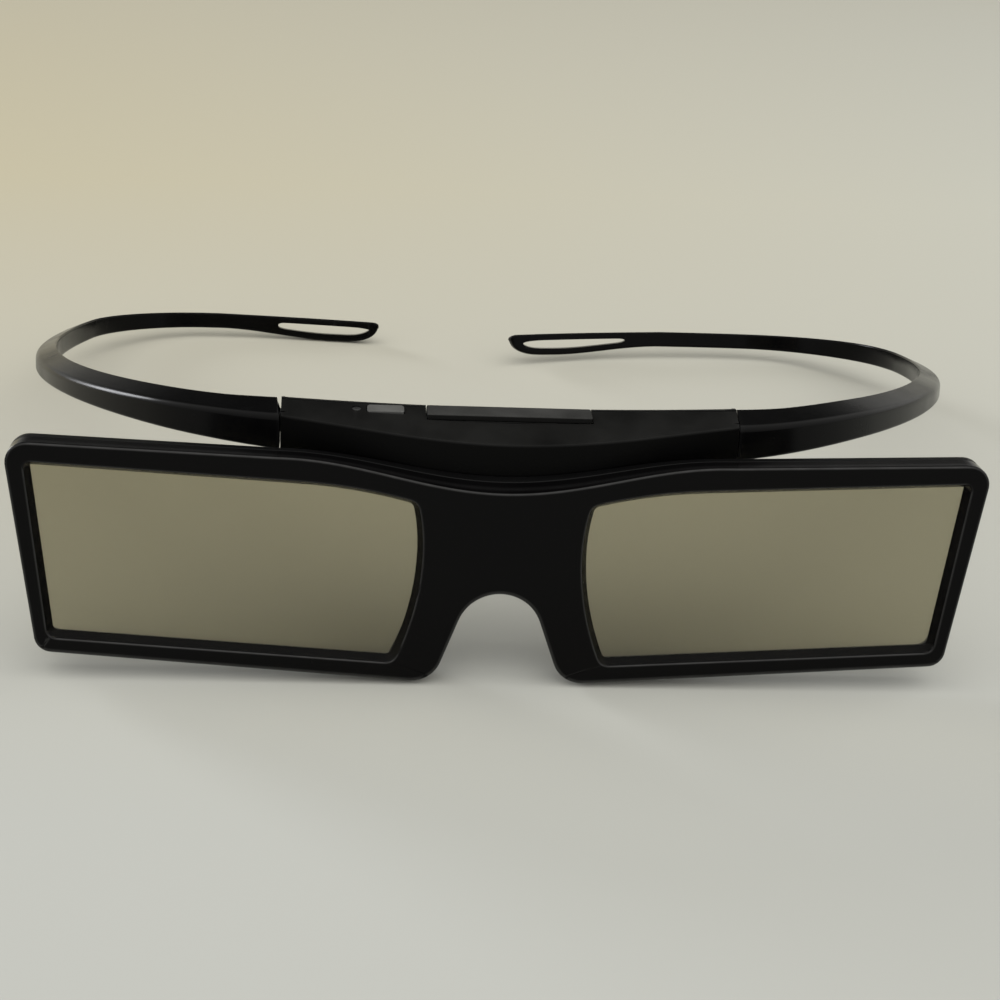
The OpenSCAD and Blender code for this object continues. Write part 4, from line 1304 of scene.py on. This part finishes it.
    def cavity_rings(self) -> Array:
        """Rings of the housing's hollow: the outside drawn in by the wall, and left long at the back.

        Returns:
            The rings, as (n, 4, 3).
        """
        reach = self.half - self.socket_l - self.socket_wall
        x = np.linspace(-reach, reach, self.hollow_count)
        face, under = self.face(x) + self.wall, self.under(x) + self.wall
        past = np.full_like(x, self.back + self.hollow_past)
        corners = np.stack([
            pair(face, under), pair(face, self.facet(x, face) - self.wall),
            pair(past, self.facet(x, past) - self.wall), pair(past, under)], 1)
        return np.concatenate([np.broadcast_to(x[:, None, None], (len(x), 4, 1)), corners], -1)

    def build_housing(self, shop: Workshop) -> None:
        """Makes the housing: outside and pocket block, less the hollow, the pocket, the sockets and the holes.

        Args:
            shop: the workshop that sets pieces down and dresses them.
        """
        inside = self.tray_w / 2 + self.tray_clear
        outside = inside + self.pocket_wall
        floor = self.tray_bottom - self.floor_clear
        front = self.lens_frame.depth
        pocket = Shell.block(
            (-outside, front, floor - self.pocket_wall), (outside, self.back, self.pocket_top), self.pocket_r)
        step = Shell.block((-inside, front + self.wall, floor), (inside, self.tray_front, self.pocket_step))
        shaft = Shell.block(
            (-inside, self.tray_front - self.tray_clear, floor), (inside, self.back + self.cut_past, self.cut_top))
        tools = [(pocket, Cut.ADD)] + [(s, Cut.TAKE) for s in (Shell.loft(self.cavity_rings()), step, shaft)]
        (y0, y1), (z0, z1) = self.socket_y, self.socket_z
        for side in Side:
            near, far = sorted(side.value * x for x in (self.half - self.socket_l, self.half + self.socket_past))
            tools.append((Shell.block((near, y0, z0), (far, y1, z1)), Cut.TAKE))
        x, y, (low, high) = self.button_x, self.button_y, self.button_hole
        reach_x, reach_y = self.button_l / 2 + self.button_clear, self.button_d / 2 + self.button_clear
        hole = Shell.block((x - reach_x, y - reach_y, low), (x + reach_x, y + reach_y, high), self.button_hole_r)
        tools.append((hole, Cut.TAKE))
        rod = np.array([[self.pipe_r + self.pipe_clear, 0.0], [self.pipe_r + self.pipe_clear, self.pipe_cut]])
        tools.append((Shell.lathe(rod, (self.pipe_x, y, self.pipe_foot), UP, self.pipe_sides), Cut.TAKE))
        piece = carve(Shell.loft(self.housing_rings()).to_object("brow_body"), tools)
        self.deliver(shop, piece, "brow_housing", "brow", Body.GLASSES, self.sharp)

    def build_cover(self, shop: Workshop) -> None:
        """Makes the rear cover: the brow's back outline with its pocket tab, seat notch and counterbores.

        Args:
            shop: the workshop that sets pieces down and dresses them.
        """
        inside = self.tray_w / 2 + self.tray_clear + self.pocket_wall
        seat = self.lip_w / 2 + self.lip_side_clear
        low = self.tray_bottom - self.floor_clear - self.pocket_wall
        seat_z = self.lip_bottom - self.lip_seat_clear
        halves = []
        for side in (Side.RIGHT, Side.LEFT):
            end = seat + side.value * self.lip_shift
            spans = ((inside, self.half), (self.half, end))
            x_under, x_top = (np.linspace(*span, self.cover_count) for span in spans)
            halves.append(np.concatenate([
                [[inside, low]], pair(x_under, self.under(x_under)), pair(x_top, self.top(x_top)),
                [[end, seat_z]]]))
        outline = np.concatenate([halves[0], halves[1][::-1] * [-1.0, 1.0]])
        radii = np.zeros(len(outline))
        radii[[0, -1]], radii[[1, -2]] = self.cover_r
        outline = distinct(fillet(outline, radii, ROUND_STEPS))
        normal = outward(np.concatenate([outline[-1:], outline, outline[:1]]))[1:-1]
        start, r = self.back + self.cover_gap, self.cover_edge
        rows = [(-self.cover_soft, start), (0.0, start + self.cover_soft)]
        quarter = np.linspace(0.0, np.pi / 2, ROUND_STEPS)
        rows += [(r * math.cos(a) - r, self.cover_back - r + r * math.sin(a)) for a in quarter]
        rows.append((-self.cover_land, self.cover_back))
        rings = np.empty((len(rows), len(outline), 3))
        for ring, (offset, depth) in zip(rings, rows):
            ring[:, [0, 2]] = outline + normal * offset
            ring[:, 1] = depth
        hole = np.array([[self.screw_r, 0.0], [self.screw_r, self.cut_past]])
        z = float(self.under(np.array(self.screw_x))) + self.screw_rise
        tools = []
        for side in Side:
            at = (side.value * self.screw_x, self.cover_back - self.screw_head, z)
            tools.append((Shell.lathe(hole, at, BACK, self.screw_sides), Cut.TAKE))
        piece = carve(Shell.loft(rings).to_object("brow_back_cover"), tools)
        self.deliver(shop, piece, "brow_rear_cover", "frame_matte", Body.GLASSES, self.sharp)

    def build_tray(self, shop: Workshop) -> None:
        """Makes the tray: its lip's section carried along x, and the slide with the cell's round pocket.

        Args:
            shop: the workshop that sets pieces down and dresses them.
        """
        low, back = self.lip_bottom, self.cover_back - self.lip_back
        top, chamfer = low + self.lip_t + self.lip_rise, self.lip_chamfer
        section = np.array([
            [self.lip_front, low], [back, low], [back, top - chamfer], [back - chamfer, top],
            [self.lip_front, low + self.lip_t]])
        outline = fillet(section, np.array(self.lip_radii), SMALL_STEPS)
        inset = self.lip_soft * np.array([1.0, ARC_MIDDLE, 0.0])
        x = -self.lip_w / 2 + self.lip_soft * np.array([0.0, ARC_MIDDLE, 1.0])
        x, inset = np.concatenate([x, -x[::-1]]), np.concatenate([inset, inset[::-1]])
        centre = outline.mean(0)
        rings = np.empty((len(x), len(outline), 3))
        rings[..., 0] = self.lip_shift + x[:, None]
        rings[..., 1:] = centre + (outline - centre) * (1.0 - inset / self.lip_draw)[:, None, None]
        half, front = self.tray_w / 2, self.tray_front
        slide = Shell.block(
            (-half, front, self.tray_bottom), (half, front + self.tray_t, low + self.tray_lap), self.tray_r)
        seat_r, at = self.cell_r + self.cell_clear, (0.0, front - self.tray_past, self.cell_z)
        seat = np.array([[seat_r, 0.0], [seat_r, self.cell_t + self.tray_past]])
        hole = np.array([[self.cell_hole_r, 0.0], [self.cell_hole_r, self.tray_t + self.cut_past]])
        pocket, opening = Shell.lathe(seat, at, BACK, self.cell_sides), Shell.lathe(hole, at, BACK, self.opening_sides)
        tools = [(slide, Cut.ADD), (pocket, Cut.TAKE), (opening, Cut.TAKE)]
        piece = carve(Shell.loft(rings).to_object("cell_tray"), tools)
        self.deliver(shop, piece, "battery_tray", "tray", Body.TRAY, self.sharp)

    def build_cell(self, shop: Workshop) -> None:
        """Makes the coin cell: a turned profile with the small cap, the crimp and the can's rolled edge.

        Args:
            shop: the workshop that sets pieces down and dresses them.
        """
        front = [self.cell_r, 0.0] + np.array(self.cell_front) * [-1.0, 1.0]
        rear = [self.cell_r, self.cell_t] - np.array(self.cell_rear)
        profile = np.concatenate([[[0.0, 0.0]], front, rear, [[0.0, self.cell_t]]])
        shell = Shell.lathe(profile, (0.0, self.tray_front, self.cell_z), BACK, self.cell_sides)
        piece = shell.to_object("coin_cell_can")
        self.deliver(shop, piece, "coin_cell", "cell", Body.TRAY, self.cell_sharp)

    def build_button(self, shop: Workshop) -> None:
        """Makes the button, whose top follows the brow's facet, with its flange and its stem.

        Args:
            shop: the workshop that sets pieces down and dresses them.
        """
        x, y = self.button_x, self.button_y
        half = np.array([self.button_l / 2, self.button_d / 2])
        square = np.array([[-1, -1], [1, -1], [1, 1], [-1, 1]], float)
        outline = fillet(square * half, np.full(4, self.button_r), ROUND_STEPS)
        roof = self.facet(np.full(len(outline), x), y + outline[:, 1]) + self.button_proud
        flange = self.button_foot + self.flange_rise
        levels = [(1.0, np.full_like(roof, z)) for z in (flange, flange + self.flange_lap)]
        levels += [(share, roof - fall) for share, fall in self.button_rim]
        rings = np.empty((len(levels), len(outline), 3))
        for ring, (share, height) in zip(rings, levels):
            ring[:, :2] = [x, y] + outline * share
            ring[:, 2] = height
        wide, deep = half + [self.button_flange, 0.0]
        foot = Shell.block((x - wide, y - deep, flange), (x + wide, y + deep, flange + self.flange_t), self.flange_r)
        stem = Shell.lathe(np.array(self.pin), (x, y, self.button_foot), UP, self.pin_sides)
        piece = carve(Shell.loft(rings).to_object("power_key"), [(foot, Cut.ADD), (stem, Cut.ADD)])
        self.deliver(shop, piece, "power_button", "button", Body.BUTTON, SHARP)

    def build(self, shop: Workshop) -> None:
        """Makes every visible piece of the brow.

        Args:
            shop: the workshop that sets pieces down and dresses them.
        """
        self.build_housing(shop)
        self.build_cover(shop)
        self.build_tray(shop)
        self.build_cell(shop)
        self.build_button(shop)


@dataclass
class Temple:
    """A plug-in temple: five tangent arcs from the brow's end round the head to an open loop."""

    side: Side
    brow: Brow
    reach: float
    front_r: float
    side_r: float
    rear_r: float
    tip_r: float
    tip_turn: float
    lift: float
    arch: tuple[float, float]
    gap: float
    notch: float
    slot: tuple[float, float]
    side_h: float = 4.4
    back_h: float = 3.5
    side_t: float = 3.9
    back_t: float = 2.1
    slot_bar: float = 1.5
    slot_soft: float = 0.25
    loop_l: float = 36.5
    loop_blend: float = 26.0
    tip_belly: float = 2.1
    tip_sag: float = 0.9
    tip_round: float = 8.0
    tip_blunt: float = 0.3
    tip_square: float = 2.6
    tip_thin: float = 2.0
    tip_nose: float = 0.6
    tip_nose_l: float = 1.3
    side_ease: float = 2.3
    joint_blend: float = 14.0
    section_edge: float = 0.45
    side_fade: float = 0.15
    back_fade: float = 0.7
    tongue_l: float = 8.0
    tongue_y: tuple[float, float] = (11.45, 13.85)
    tongue_z: tuple[float, float] = (38.2, 41.6)
    tongue_r: float = 0.3
    tongue_ends: tuple[tuple[float, float], ...] = ((0.0, 0.82), (0.1, 0.94), (0.35, 1.0))
    root_share: float = 0.93
    root_gap: float = 0.02
    run_gap: float = 0.02
    tip_count: int = 26
    slot_count: int = 41
    back_slow: float = 1.5
    tip_keep: float = 0.45
    most_drop: float = 1.15
    section_r: tuple[float, ...] = (0.55, 1.3, 0.35, 0.55)
    arch_ends: tuple[float, float, float] = (0.25, 0.5, 0.6)
    slot_ends: tuple[int, int] = (8, 20)
    slot_past: float = 2.0
    sharp: float = 40.0
    front_turn: float = 50.0
    side_turn: float = 102.0
    rear_turn: float = 178.0
    steps: tuple[int, ...] = (36, 60, 24, 60, 110)
    path: Array = field(init=False)
    heading: Array = field(init=False)
    run: Array = field(init=False)
    marks: tuple[float, float, float] = field(init=False)
    pitch: float = field(init=False)

    def __post_init__(self) -> None:
        """Works out the plan: points, headings and lengths along the tangent arcs, and the plane's slope."""
        brow = self.brow
        first = math.degrees(math.atan(2 * brow.sweep / (brow.half - brow.flat)))
        turns = (first, self.front_turn, 90.0, self.side_turn, self.rear_turn, self.rear_turn + self.tip_turn)
        bounds = [math.radians(a) for a in turns]
        start = np.array([brow.half, 0.0])
        lead_x = brow.half + self.front_r * (math.sin(bounds[1]) - math.sin(bounds[0]))
        flank_r = (self.reach - self.side_t / 2 - lead_x) / (1.0 - math.sin(bounds[1]))
        radii = (self.front_r, flank_r, self.side_r, self.rear_r, self.tip_r)
        points, headings, runs, ends = [], [], [], [0.0]
        for a, b, r, count in zip(bounds, bounds[1:], radii, self.steps):
            h = np.linspace(a, b, count + 1)
            arc = start + r * pair(np.sin(h) - math.sin(a), math.cos(a) - np.cos(h))
            points.append(arc[:-1])
            headings.append(h[:-1])
            runs.append(ends[-1] + (h[:-1] - a) * r)
            ends.append(ends[-1] + (b - a) * r)
            start = arc[-1]
        near_end = ends[-1] - self.tip_round * (1.0 - np.sin(np.linspace(0.0, np.pi / 2, self.tip_count)))
        run, heading = np.concatenate([*runs, [ends[-1]]]), np.concatenate([*headings, [bounds[-1]]])
        path = np.concatenate([*points, start[None]])
        fine = np.concatenate([run[run < near_end[0] - self.run_gap], near_end])
        self.path = np.stack([np.interp(fine, run, path[:, i]) for i in (0, 1)], -1)
        self.heading = np.interp(fine, run, heading)
        self.run = fine
        self.marks = (ends[2], ends[4], ends[5])
        self.pitch = self._slope()

    @property
    def joint_t(self) -> float:
        """Depth of the brow's end."""
        return self.brow.cover_back - float(self.brow.face(np.array(self.brow.half)))

    @property
    def joint_y(self) -> float:
        """Depth of the middle of the brow's end."""
        return self.brow.cover_back - self.joint_t / 2

    @property
    def joint_z(self) -> float:
        """Height of the middle of the brow's end."""
        return self.brow.joint_top - self.brow.joint_h / 2

    def in_loop(self) -> Array:
        """Share of the loop's swelling along the run."""
        return ease((self.run - self.marks[2] + self.loop_l) / self.loop_blend)

    def to_side(self) -> Array:
        """Share of the change from the joint to the side, faster at first."""
        return 1.0 - (1.0 - np.minimum(self.run / self.marks[0], 1.0)) ** self.side_ease

    def to_back(self) -> Array:
        """Share of the change from the side to the back, slow at first."""
        past = np.clip((self.run - self.marks[0]) / (self.marks[1] - self.marks[0]), 0.0, 1.0)
        return ease(past**self.back_slow)

    def bar(self) -> Array:
        """Height of the plain bar along the run, without the loop's swelling."""
        joint_h = self.brow.joint_h
        return joint_h + (self.side_h - joint_h) * self.to_side() + (self.back_h - self.side_h) * self.to_back()

    def top(self) -> Array:
        """The top edge above the temple's plane: half of the bar, which sags evenly along the loop."""
        return self.bar() / 2 - self.tip_sag * np.maximum(self.run - self.marks[2] + self.loop_l, 0.0) / self.loop_l

    def closing(self, length: float, power: float, least: float = 0.0) -> Array:
        """Share that falls as a quarter circle, or squarer with more power, over a length before the tip."""
        past = np.clip((self.run - self.marks[2] + length) / length, 0.0, 1.0)
        return np.maximum((1.0 - past**power) ** (1.0 / power), least)

    def foot(self) -> Array:
        """The bottom edge below the temple's plane: the loop's belly hangs under the bar, and the tip closes."""
        whole = self.bar() / 2 + self.top() + self.tip_belly * self.in_loop()
        return whole * self.closing(self.tip_round, self.tip_square, self.tip_blunt) - self.top()

    def nosed_top(self) -> Array:
        """The top edge with the tip's upper corner rounded off."""
        return self.top() - self.tip_nose * (1.0 - self.closing(self.tip_nose_l, 2.0))

    def height(self) -> Array:
        """Height of the section along the run."""
        return self.nosed_top() + self.foot()

    def middle(self) -> Array:
        """The section's middle above the temple's plane."""
        return (self.nosed_top() - self.foot()) / 2

    def thickness(self) -> Array:
        """Thickness of the section along the run."""
        to_side = np.minimum(self.run / self.marks[0], 1.0)
        return self.joint_t + (self.side_t - self.joint_t) * to_side + (self.back_t - self.side_t) * self.to_back()

    def _slope(self) -> float:
        """Slope of the temple's plane below the lens frame's level, so that its lowest point comes to its lift.

        Returns:
            The slope, in radians.
        """
        depth = self.brow.lens_frame.depth
        above = (depth - self.joint_y) * math.sin(LEAN) + self.joint_z * math.cos(LEAN)
        late = self.run > self.marks[0]
        low = self.foot()[late]
        back = self.path[late, 1] - (self.thickness()[late] / 2 - self.section_edge) * np.cos(self.heading[late])
        fall = above - self.lift
        return float(np.min(np.arcsin(fall / np.hypot(back, low)) - np.arctan(low / back))) - LEAN

    def rings(self) -> Array:
        """Rings of the temple: a four-cornered section with rounded edges, carried along the plan.

        The section's outer top corner is lower, which leaves a crease along the outside. Near the joint the
        section turns from the brow's end plane to square across the plan. At the tip its height and its
        thickness fall off in rounded curves. The two values of arch lift the part before the bend and the bend.

        Returns:
            The rings, as (n, m, 3).
        """
        h = self.height() / 2
        kept = self.tip_keep
        t = self.thickness() / 2 * (kept + (1.0 - kept) * np.sqrt(self.closing(self.tip_thin, 2.0)))
        drop = (self.brow.joint_top - self.brow.crease_end_h) * (1 - self.side_fade * self.to_side())
        drop = np.minimum(drop * (1 - self.back_fade * self.to_back()), self.most_drop * h)
        corners = np.stack([pair(t, -h), pair(t, h - drop), pair(-t, h), pair(-t, -h)], 1)
        section = fillet(corners, np.array(self.section_r), ROUND_STEPS)
        blend = ease(self.run / self.joint_blend)
        turn, tilt = (self.heading * blend)[:, None], (self.pitch * blend)[:, None]
        y = self.joint_y + self.path[:, 1] * math.cos(self.pitch)
        z = self.joint_z - self.path[:, 1] * math.sin(self.pitch) + self.middle()
        share, (up_by, down_from, down_in) = self.run / self.marks[0], self.arch_ends
        z += self.arch[0] * ease(share / up_by) * (1.0 - ease((share - down_from) / down_in))
        z += self.arch[1] * ease(share) * (1.0 - self.to_back())
        out, up = section[..., 0], section[..., 1]
        across, back = out * np.sin(turn), -out * np.cos(turn)
        rings = np.empty((*section.shape[:2], 3))
        rings[..., 0] = self.path[:, 0, None] + across
        rings[..., 1] = y[:, None] + back * np.cos(tilt) + up * np.sin(tilt)
        rings[..., 2] = z[:, None] - back * np.sin(tilt) + up * np.cos(tilt)
        return rings

    def with_tongue(self, rings: Array) -> Array:
        """The rings with those of the tongue before them: a small rounded oblong at the root and at its end.

        The temple's own end leans away from the brow at the top, which leaves a small notch there.

        Args:
            rings: the temple's own rings.

        Returns:
            All the rings, from the tongue's end to the temple's tip.
        """
        (y0, y1), (z0, z1) = self.tongue_y, self.tongue_z
        square = np.array([[y0, z0], [y0, z1], [y1, z1], [y1, z0]])
        oblong = fillet(square, np.full(4, self.tongue_r), ROUND_STEPS)
        centre = oblong.mean(0)
        levels = [(self.brow.half - self.tongue_l + past, share) for past, share in self.tongue_ends]
        levels.append((self.brow.half, 1.0))
        root = np.empty((len(levels) + 1, rings.shape[1], 3))
        for ring, (x, share) in zip(root, levels):
            ring[:, 0] = x
            ring[:, 1:] = centre + (oblong - centre) * share
        middle = rings[0].mean(0)
        root[-1] = middle + (rings[0] - middle) * [1.0, self.root_share, self.root_share]
        rings = rings.copy()
        rise = np.maximum(rings[0, :, 2] - middle[2], 0.0) / (np.ptp(rings[0, :, 2]) / 2)
        rings[0, :, 0] += self.root_gap + self.notch * rise**2
        root[-1, :, 0] += self.notch * rise**2
        return np.concatenate([root, rings])

    def slot_shell(self) -> Shell:
        """The loop's slot as a tool: a leaf inside the loop's outline, flared at both faces to ease its edges.

        The leaf leaves an even bar above and below. Its ends close as (1 - u^p)^(1/2) of its half height, with one
        power p towards the tip and another towards the root. The flare follows a quarter circle within slot_soft of
        a face, and the depth follows the bow of the tip.

        Returns:
            The tool's closed skin.
        """
        tip = self.path[-1, 0]
        angle = np.linspace(0.0, np.pi, self.slot_count)
        u = np.concatenate([-np.cos(angle), np.cos(angle[1:-1])])
        sign = np.concatenate([-np.ones(len(angle)), np.ones(len(angle) - 2)])
        run = self.slot[0] + (self.slot[1] - self.slot[0]) * (1.0 + u) / 2
        middle, tall = (np.interp(self.marks[2] - run, self.run, law()) for law in (self.middle, self.height))
        close = np.sqrt(1.0 - u ** np.where(u < 0.0, *self.slot_ends))
        bow = np.argsort(self.path[:, 0][self.run > self.marks[1]])
        bow_x, bow_y = self.path[self.run > self.marks[1]][bow].T
        half, e = self.back_t / 2, self.slot_soft
        quarter = np.linspace(0.0, np.pi / 2, ROUND_STEPS)
        flare = e - e * np.sin(quarter)
        depth = half - e + e * np.cos(quarter)
        past = half + self.slot_past
        depth = np.concatenate([[past], depth, -depth[::-1], [-past]])
        flare = np.concatenate([[e], flare, flare[::-1], [e]])
        rings = np.empty((len(depth), len(u), 3))
        for ring, d, f in zip(rings, depth, flare):
            across = np.interp(tip + run, bow_x, bow_y) + d
            up = middle + sign * (tall / 2 - self.slot_bar + f) * close
            ring[:, 0] = tip + run + f * u
            ring[:, 1] = self.joint_y + across * math.cos(self.pitch) + up * math.sin(self.pitch)
            ring[:, 2] = self.joint_z - across * math.sin(self.pitch) + up * math.cos(self.pitch)
        return Shell.loft(rings)

    def build(self, shop: Workshop) -> None:
        """Makes the temple with its tongue and slot.

        Args:
            shop: the workshop that sets pieces down and dresses them.
        """
        name = self.side.name.lower()
        arm = Shell.loft(self.with_tongue(self.rings())).to_object(f"temple_arm_{name}")
        piece = carve(arm, [(self.slot_shell(), Cut.TAKE)])
        place = Matrix.Translation((self.brow.shift, 0.0, 0.0)) @ Matrix.Diagonal((self.side.value, 1.0, 1.0, 1.0))
        piece.data.transform(place @ Matrix.Translation((self.gap, 0.0, 0.0)))
        if self.side is Side.LEFT:
            piece.data.flip_normals()
        body = Body.LEFT if self.side is Side.LEFT else Body.RIGHT
        shop.deliver(piece, f"temple_{name}", "temple", body, self.sharp)


@dataclass
class InnerParts:
    """The solids that keep their own mesh: light pipe, board and its parts, leads, contacts, gaskets and screws."""

    edge: float = 0.08
    edge_steps: int = 2
    least_angle: float = 40.0
    weld: float = 1e-6

    def dress(self, shop: Workshop, shown: dict[str, bpy.types.Object], slots: dict[str, str]) -> None:
        """Puts a finish and a fine edge break on each solid that no new piece replaces.

        Args:
            shop: the workshop.
            shown: the CAD objects by node.
            slots: the record's material slot of each node.
        """
        for node, piece in shown.items():
            if piece.hide_render:
                continue
            shop.wardrobe.dress(piece, slots[node])
            weld = piece.modifiers.new("weld", "WELD")
            weld.merge_threshold = self.weld
            ease_edges = piece.modifiers.new("edge_break", "BEVEL")
            ease_edges.width = self.edge * MM
            ease_edges.segments = self.edge_steps
            ease_edges.limit_method = "ANGLE"
            ease_edges.angle_limit = math.radians(self.least_angle)
            log.info("%s: dressed as %s", node, slots[node])


# Table, light and camera


@dataclass
class Studio:
    """A pale table, soft light from all sides, and the camera at the photograph's angle."""

    stand: Stand
    table_half: float = 30.0
    table_rough: float = 0.8
    table_specular: float = 0.05
    tone_left: Color = (0.53, 0.485, 0.355)
    tone_right: Color = (0.535, 0.54, 0.495)
    tone_near: Color = (0.515, 0.522, 0.495)
    # darker and warmer towards the back: painted shade
    painted_far_shade: Color = (0.42, 0.405, 0.345)
    across: tuple[float, float] = (-0.1, 0.3)
    near: tuple[float, float] = (-0.12, 0.2)
    far: tuple[float, float] = (0.2, 0.7)
    drift: float = 0.12
    drift_scale: float = 2.2
    room_color: Color = (0.98, 0.97, 0.93)
    dome: tuple[float, float] = (0.72, 1.68)
    dim_way: tuple[float, float, float] = (0.0, 0.78, 0.62)
    dim_edge: tuple[float, float] = (0.66, 0.89)
    dim_level: float = 0.03
    window_way: tuple[float, float, float] = (-0.76, 0.61, 0.23)
    window_width: float = 19.0
    window_power: float = 1.4
    window_color: Color = (0.95, 0.97, 1.0)
    clip: tuple[float, float] = (0.01, 50.0)
    camera_from_feet: tuple[float, float, float] = (-28.23, -284.99, 167.69)
    yaw: float = 5.402
    pitch: float = 25.096
    roll: float = 3.638
    focal_px: float = 2030.4
    image_px: float = 1000.0
    sensor: float = 36.0

    def camera(self) -> bpy.types.Object:
        """The camera: turned by yaw about z, then down by pitch, then by roll about its own line of sight.

        Returns:
            The camera.
        """
        yaw, pitch, roll = (math.radians(a) for a in (self.yaw, self.pitch, self.roll))
        forward = Vector((math.sin(yaw) * math.cos(pitch), math.cos(yaw) * math.cos(pitch), -math.sin(pitch)))
        right = Vector((math.cos(yaw), -math.sin(yaw), 0.0))
        up = right.cross(forward)
        level_right = math.cos(roll) * right + math.sin(roll) * up
        level_up = -math.sin(roll) * right + math.cos(roll) * up
        turn = Matrix((level_right, level_up, -forward)).transposed().to_4x4()
        data = bpy.data.cameras.new("camera")
        data.sensor_width = self.sensor
        data.lens = self.focal_px / self.image_px * self.sensor
        data.clip_start, data.clip_end = self.clip
        camera = bpy.data.objects.new("camera", data)
        at = Vector(self.camera_from_feet) + Vector((*self.stand.shift[:2], 0.0))
        camera.matrix_world = Matrix.Translation(at * MM) @ turn
        bpy.context.scene.collection.objects.link(camera)
        bpy.context.scene.camera = camera
        return camera

    def table(self) -> bpy.types.Object:
        """The table: a plane in pale warm grey, whose tone changes slowly from side to side and darkens to the back as
        painted shade where the light falls off.

        Returns:
            The table.
        """
        half = self.table_half
        mesh = bpy.data.meshes.new("table")
        mesh.from_pydata([(x * half, y * half, 0) for x, y in ((-1, -1), (1, -1), (1, 1), (-1, 1))], [], [[0, 1, 2, 3]])
        table = bpy.data.objects.new("table", mesh)
        bpy.context.scene.collection.objects.link(table)
        material, kit, shader = new_material("pale_table")
        place = kit.place()
        axes = kit.add("SeparateXYZ", in_0=place)
        side = kit.math("MULTIPLY_ADD", kit.noise(place, self.drift_scale, 1.0), self.drift, axes.outputs[0])
        tone = kit.mix(kit.spread(side, *self.across), (*self.tone_left, 1.0), (*self.tone_right, 1.0))
        tone = kit.mix(kit.spread(axes.outputs[1], *self.near), (*self.tone_near, 1.0), tone)
        # Darker towards the back: painted shade for the light that falls off there.
        tone = kit.mix(kit.spread(axes.outputs[1], *self.far), tone, (*self.painted_far_shade, 1.0))
        kit.link(tone, shader, "Base Color")
        shader.inputs["Roughness"].default_value = self.table_rough
        shader.inputs["Specular IOR Level"].default_value = self.table_specular
        mesh.materials.append(material)
        return table

    def world(self) -> None:
        """The room's light: an even dome, brighter above, with a dim part behind that the frame's top reflects."""
        world = bpy.data.worlds.new("room")
        world.use_nodes = True
        bpy.context.scene.world = world
        kit = NodeKit(world.node_tree)
        way = kit.add("TexCoord").outputs["Generated"]
        axes = kit.add("SeparateXYZ", in_0=way)
        dome = kit.spread(axes.outputs[2], 0.0, 1.0, *self.dome)
        near = kit.add("VectorMath", operation="DOT_PRODUCT", in_0=way, in_1=self.dim_way)
        start, end = self.dim_edge
        dim = kit.add("MapRange", interpolation_type="SMOOTHSTEP", in_0=near.outputs["Value"],
                      in_1=start, in_2=end, in_3=1.0, in_4=self.dim_level)
        back = world.node_tree.nodes["Background"]
        back.inputs["Color"].default_value = (*self.room_color, 1.0)
        kit.link(kit.math("MULTIPLY", dome, dim.outputs[0]), back, "Strength")

    def window(self) -> None:
        """A far lamp, behind on the left, that shines on the glasses as a soft disc."""
        data = bpy.data.lights.new("window", "SUN")
        data.angle = math.radians(self.window_width)
        data.energy = self.window_power
        data.color = self.window_color
        lamp = bpy.data.objects.new("window", data)
        lamp.rotation_mode = "QUATERNION"
        lamp.rotation_quaternion = (-Vector(self.window_way)).to_track_quat("-Z", "Y")
        bpy.context.scene.collection.objects.link(lamp)

    def build(self) -> None:
        """Sets up the camera, the table and the light."""
        bpy.context.scene.view_settings.view_transform = "Standard"
        self.camera()
        self.table()
        self.world()
        self.window()


def main() -> None:
    """Builds the sub-assemblies in order, dresses what is left of the solids and sets the scene."""
    logging.basicConfig(level=logging.INFO, format="%(name)s: %(message)s")
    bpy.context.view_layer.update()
    low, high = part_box("front_frame")
    behind = max(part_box(node)[1].y for node in ("temple_left", "temple_right"))
    lens_frame = LensFrame()
    lift = lens_frame.depth * math.sin(LEAN)
    stand = Stand(LEAN, ((low.x + high.x) / 2 / MM, -behind / MM, lift))
    shop = Workshop(stand, Wardrobe())
    brow = Brow(lens_frame)
    lens_frame.build(shop)
    brow.build(shop)
    Temple(
        Side.LEFT, brow, reach=87.75, front_r=54.0, side_r=148.0, rear_r=26.4, tip_r=230.0, tip_turn=9.8, lift=0.0,
        arch=(0.2, -0.5), gap=0.12, notch=0.5, slot=(2.2, 23.0),
    ).build(shop)
    Temple(
        Side.RIGHT, brow, reach=96.6, front_r=68.0, side_r=50.0, rear_r=29.6, tip_r=149.0, tip_turn=21.5, lift=1.4,
        arch=(0.9, 0.0), gap=0.1, notch=0.1, slot=(3.2, 27.2),
    ).build(shop)
    slots = {part["node"]: part["material_slot"] for part in frame["record"]["subparts"]}
    InnerParts().dress(shop, frame["nodes"], slots)
    Studio(stand).build()


if __name__ == "__main__":
    main()
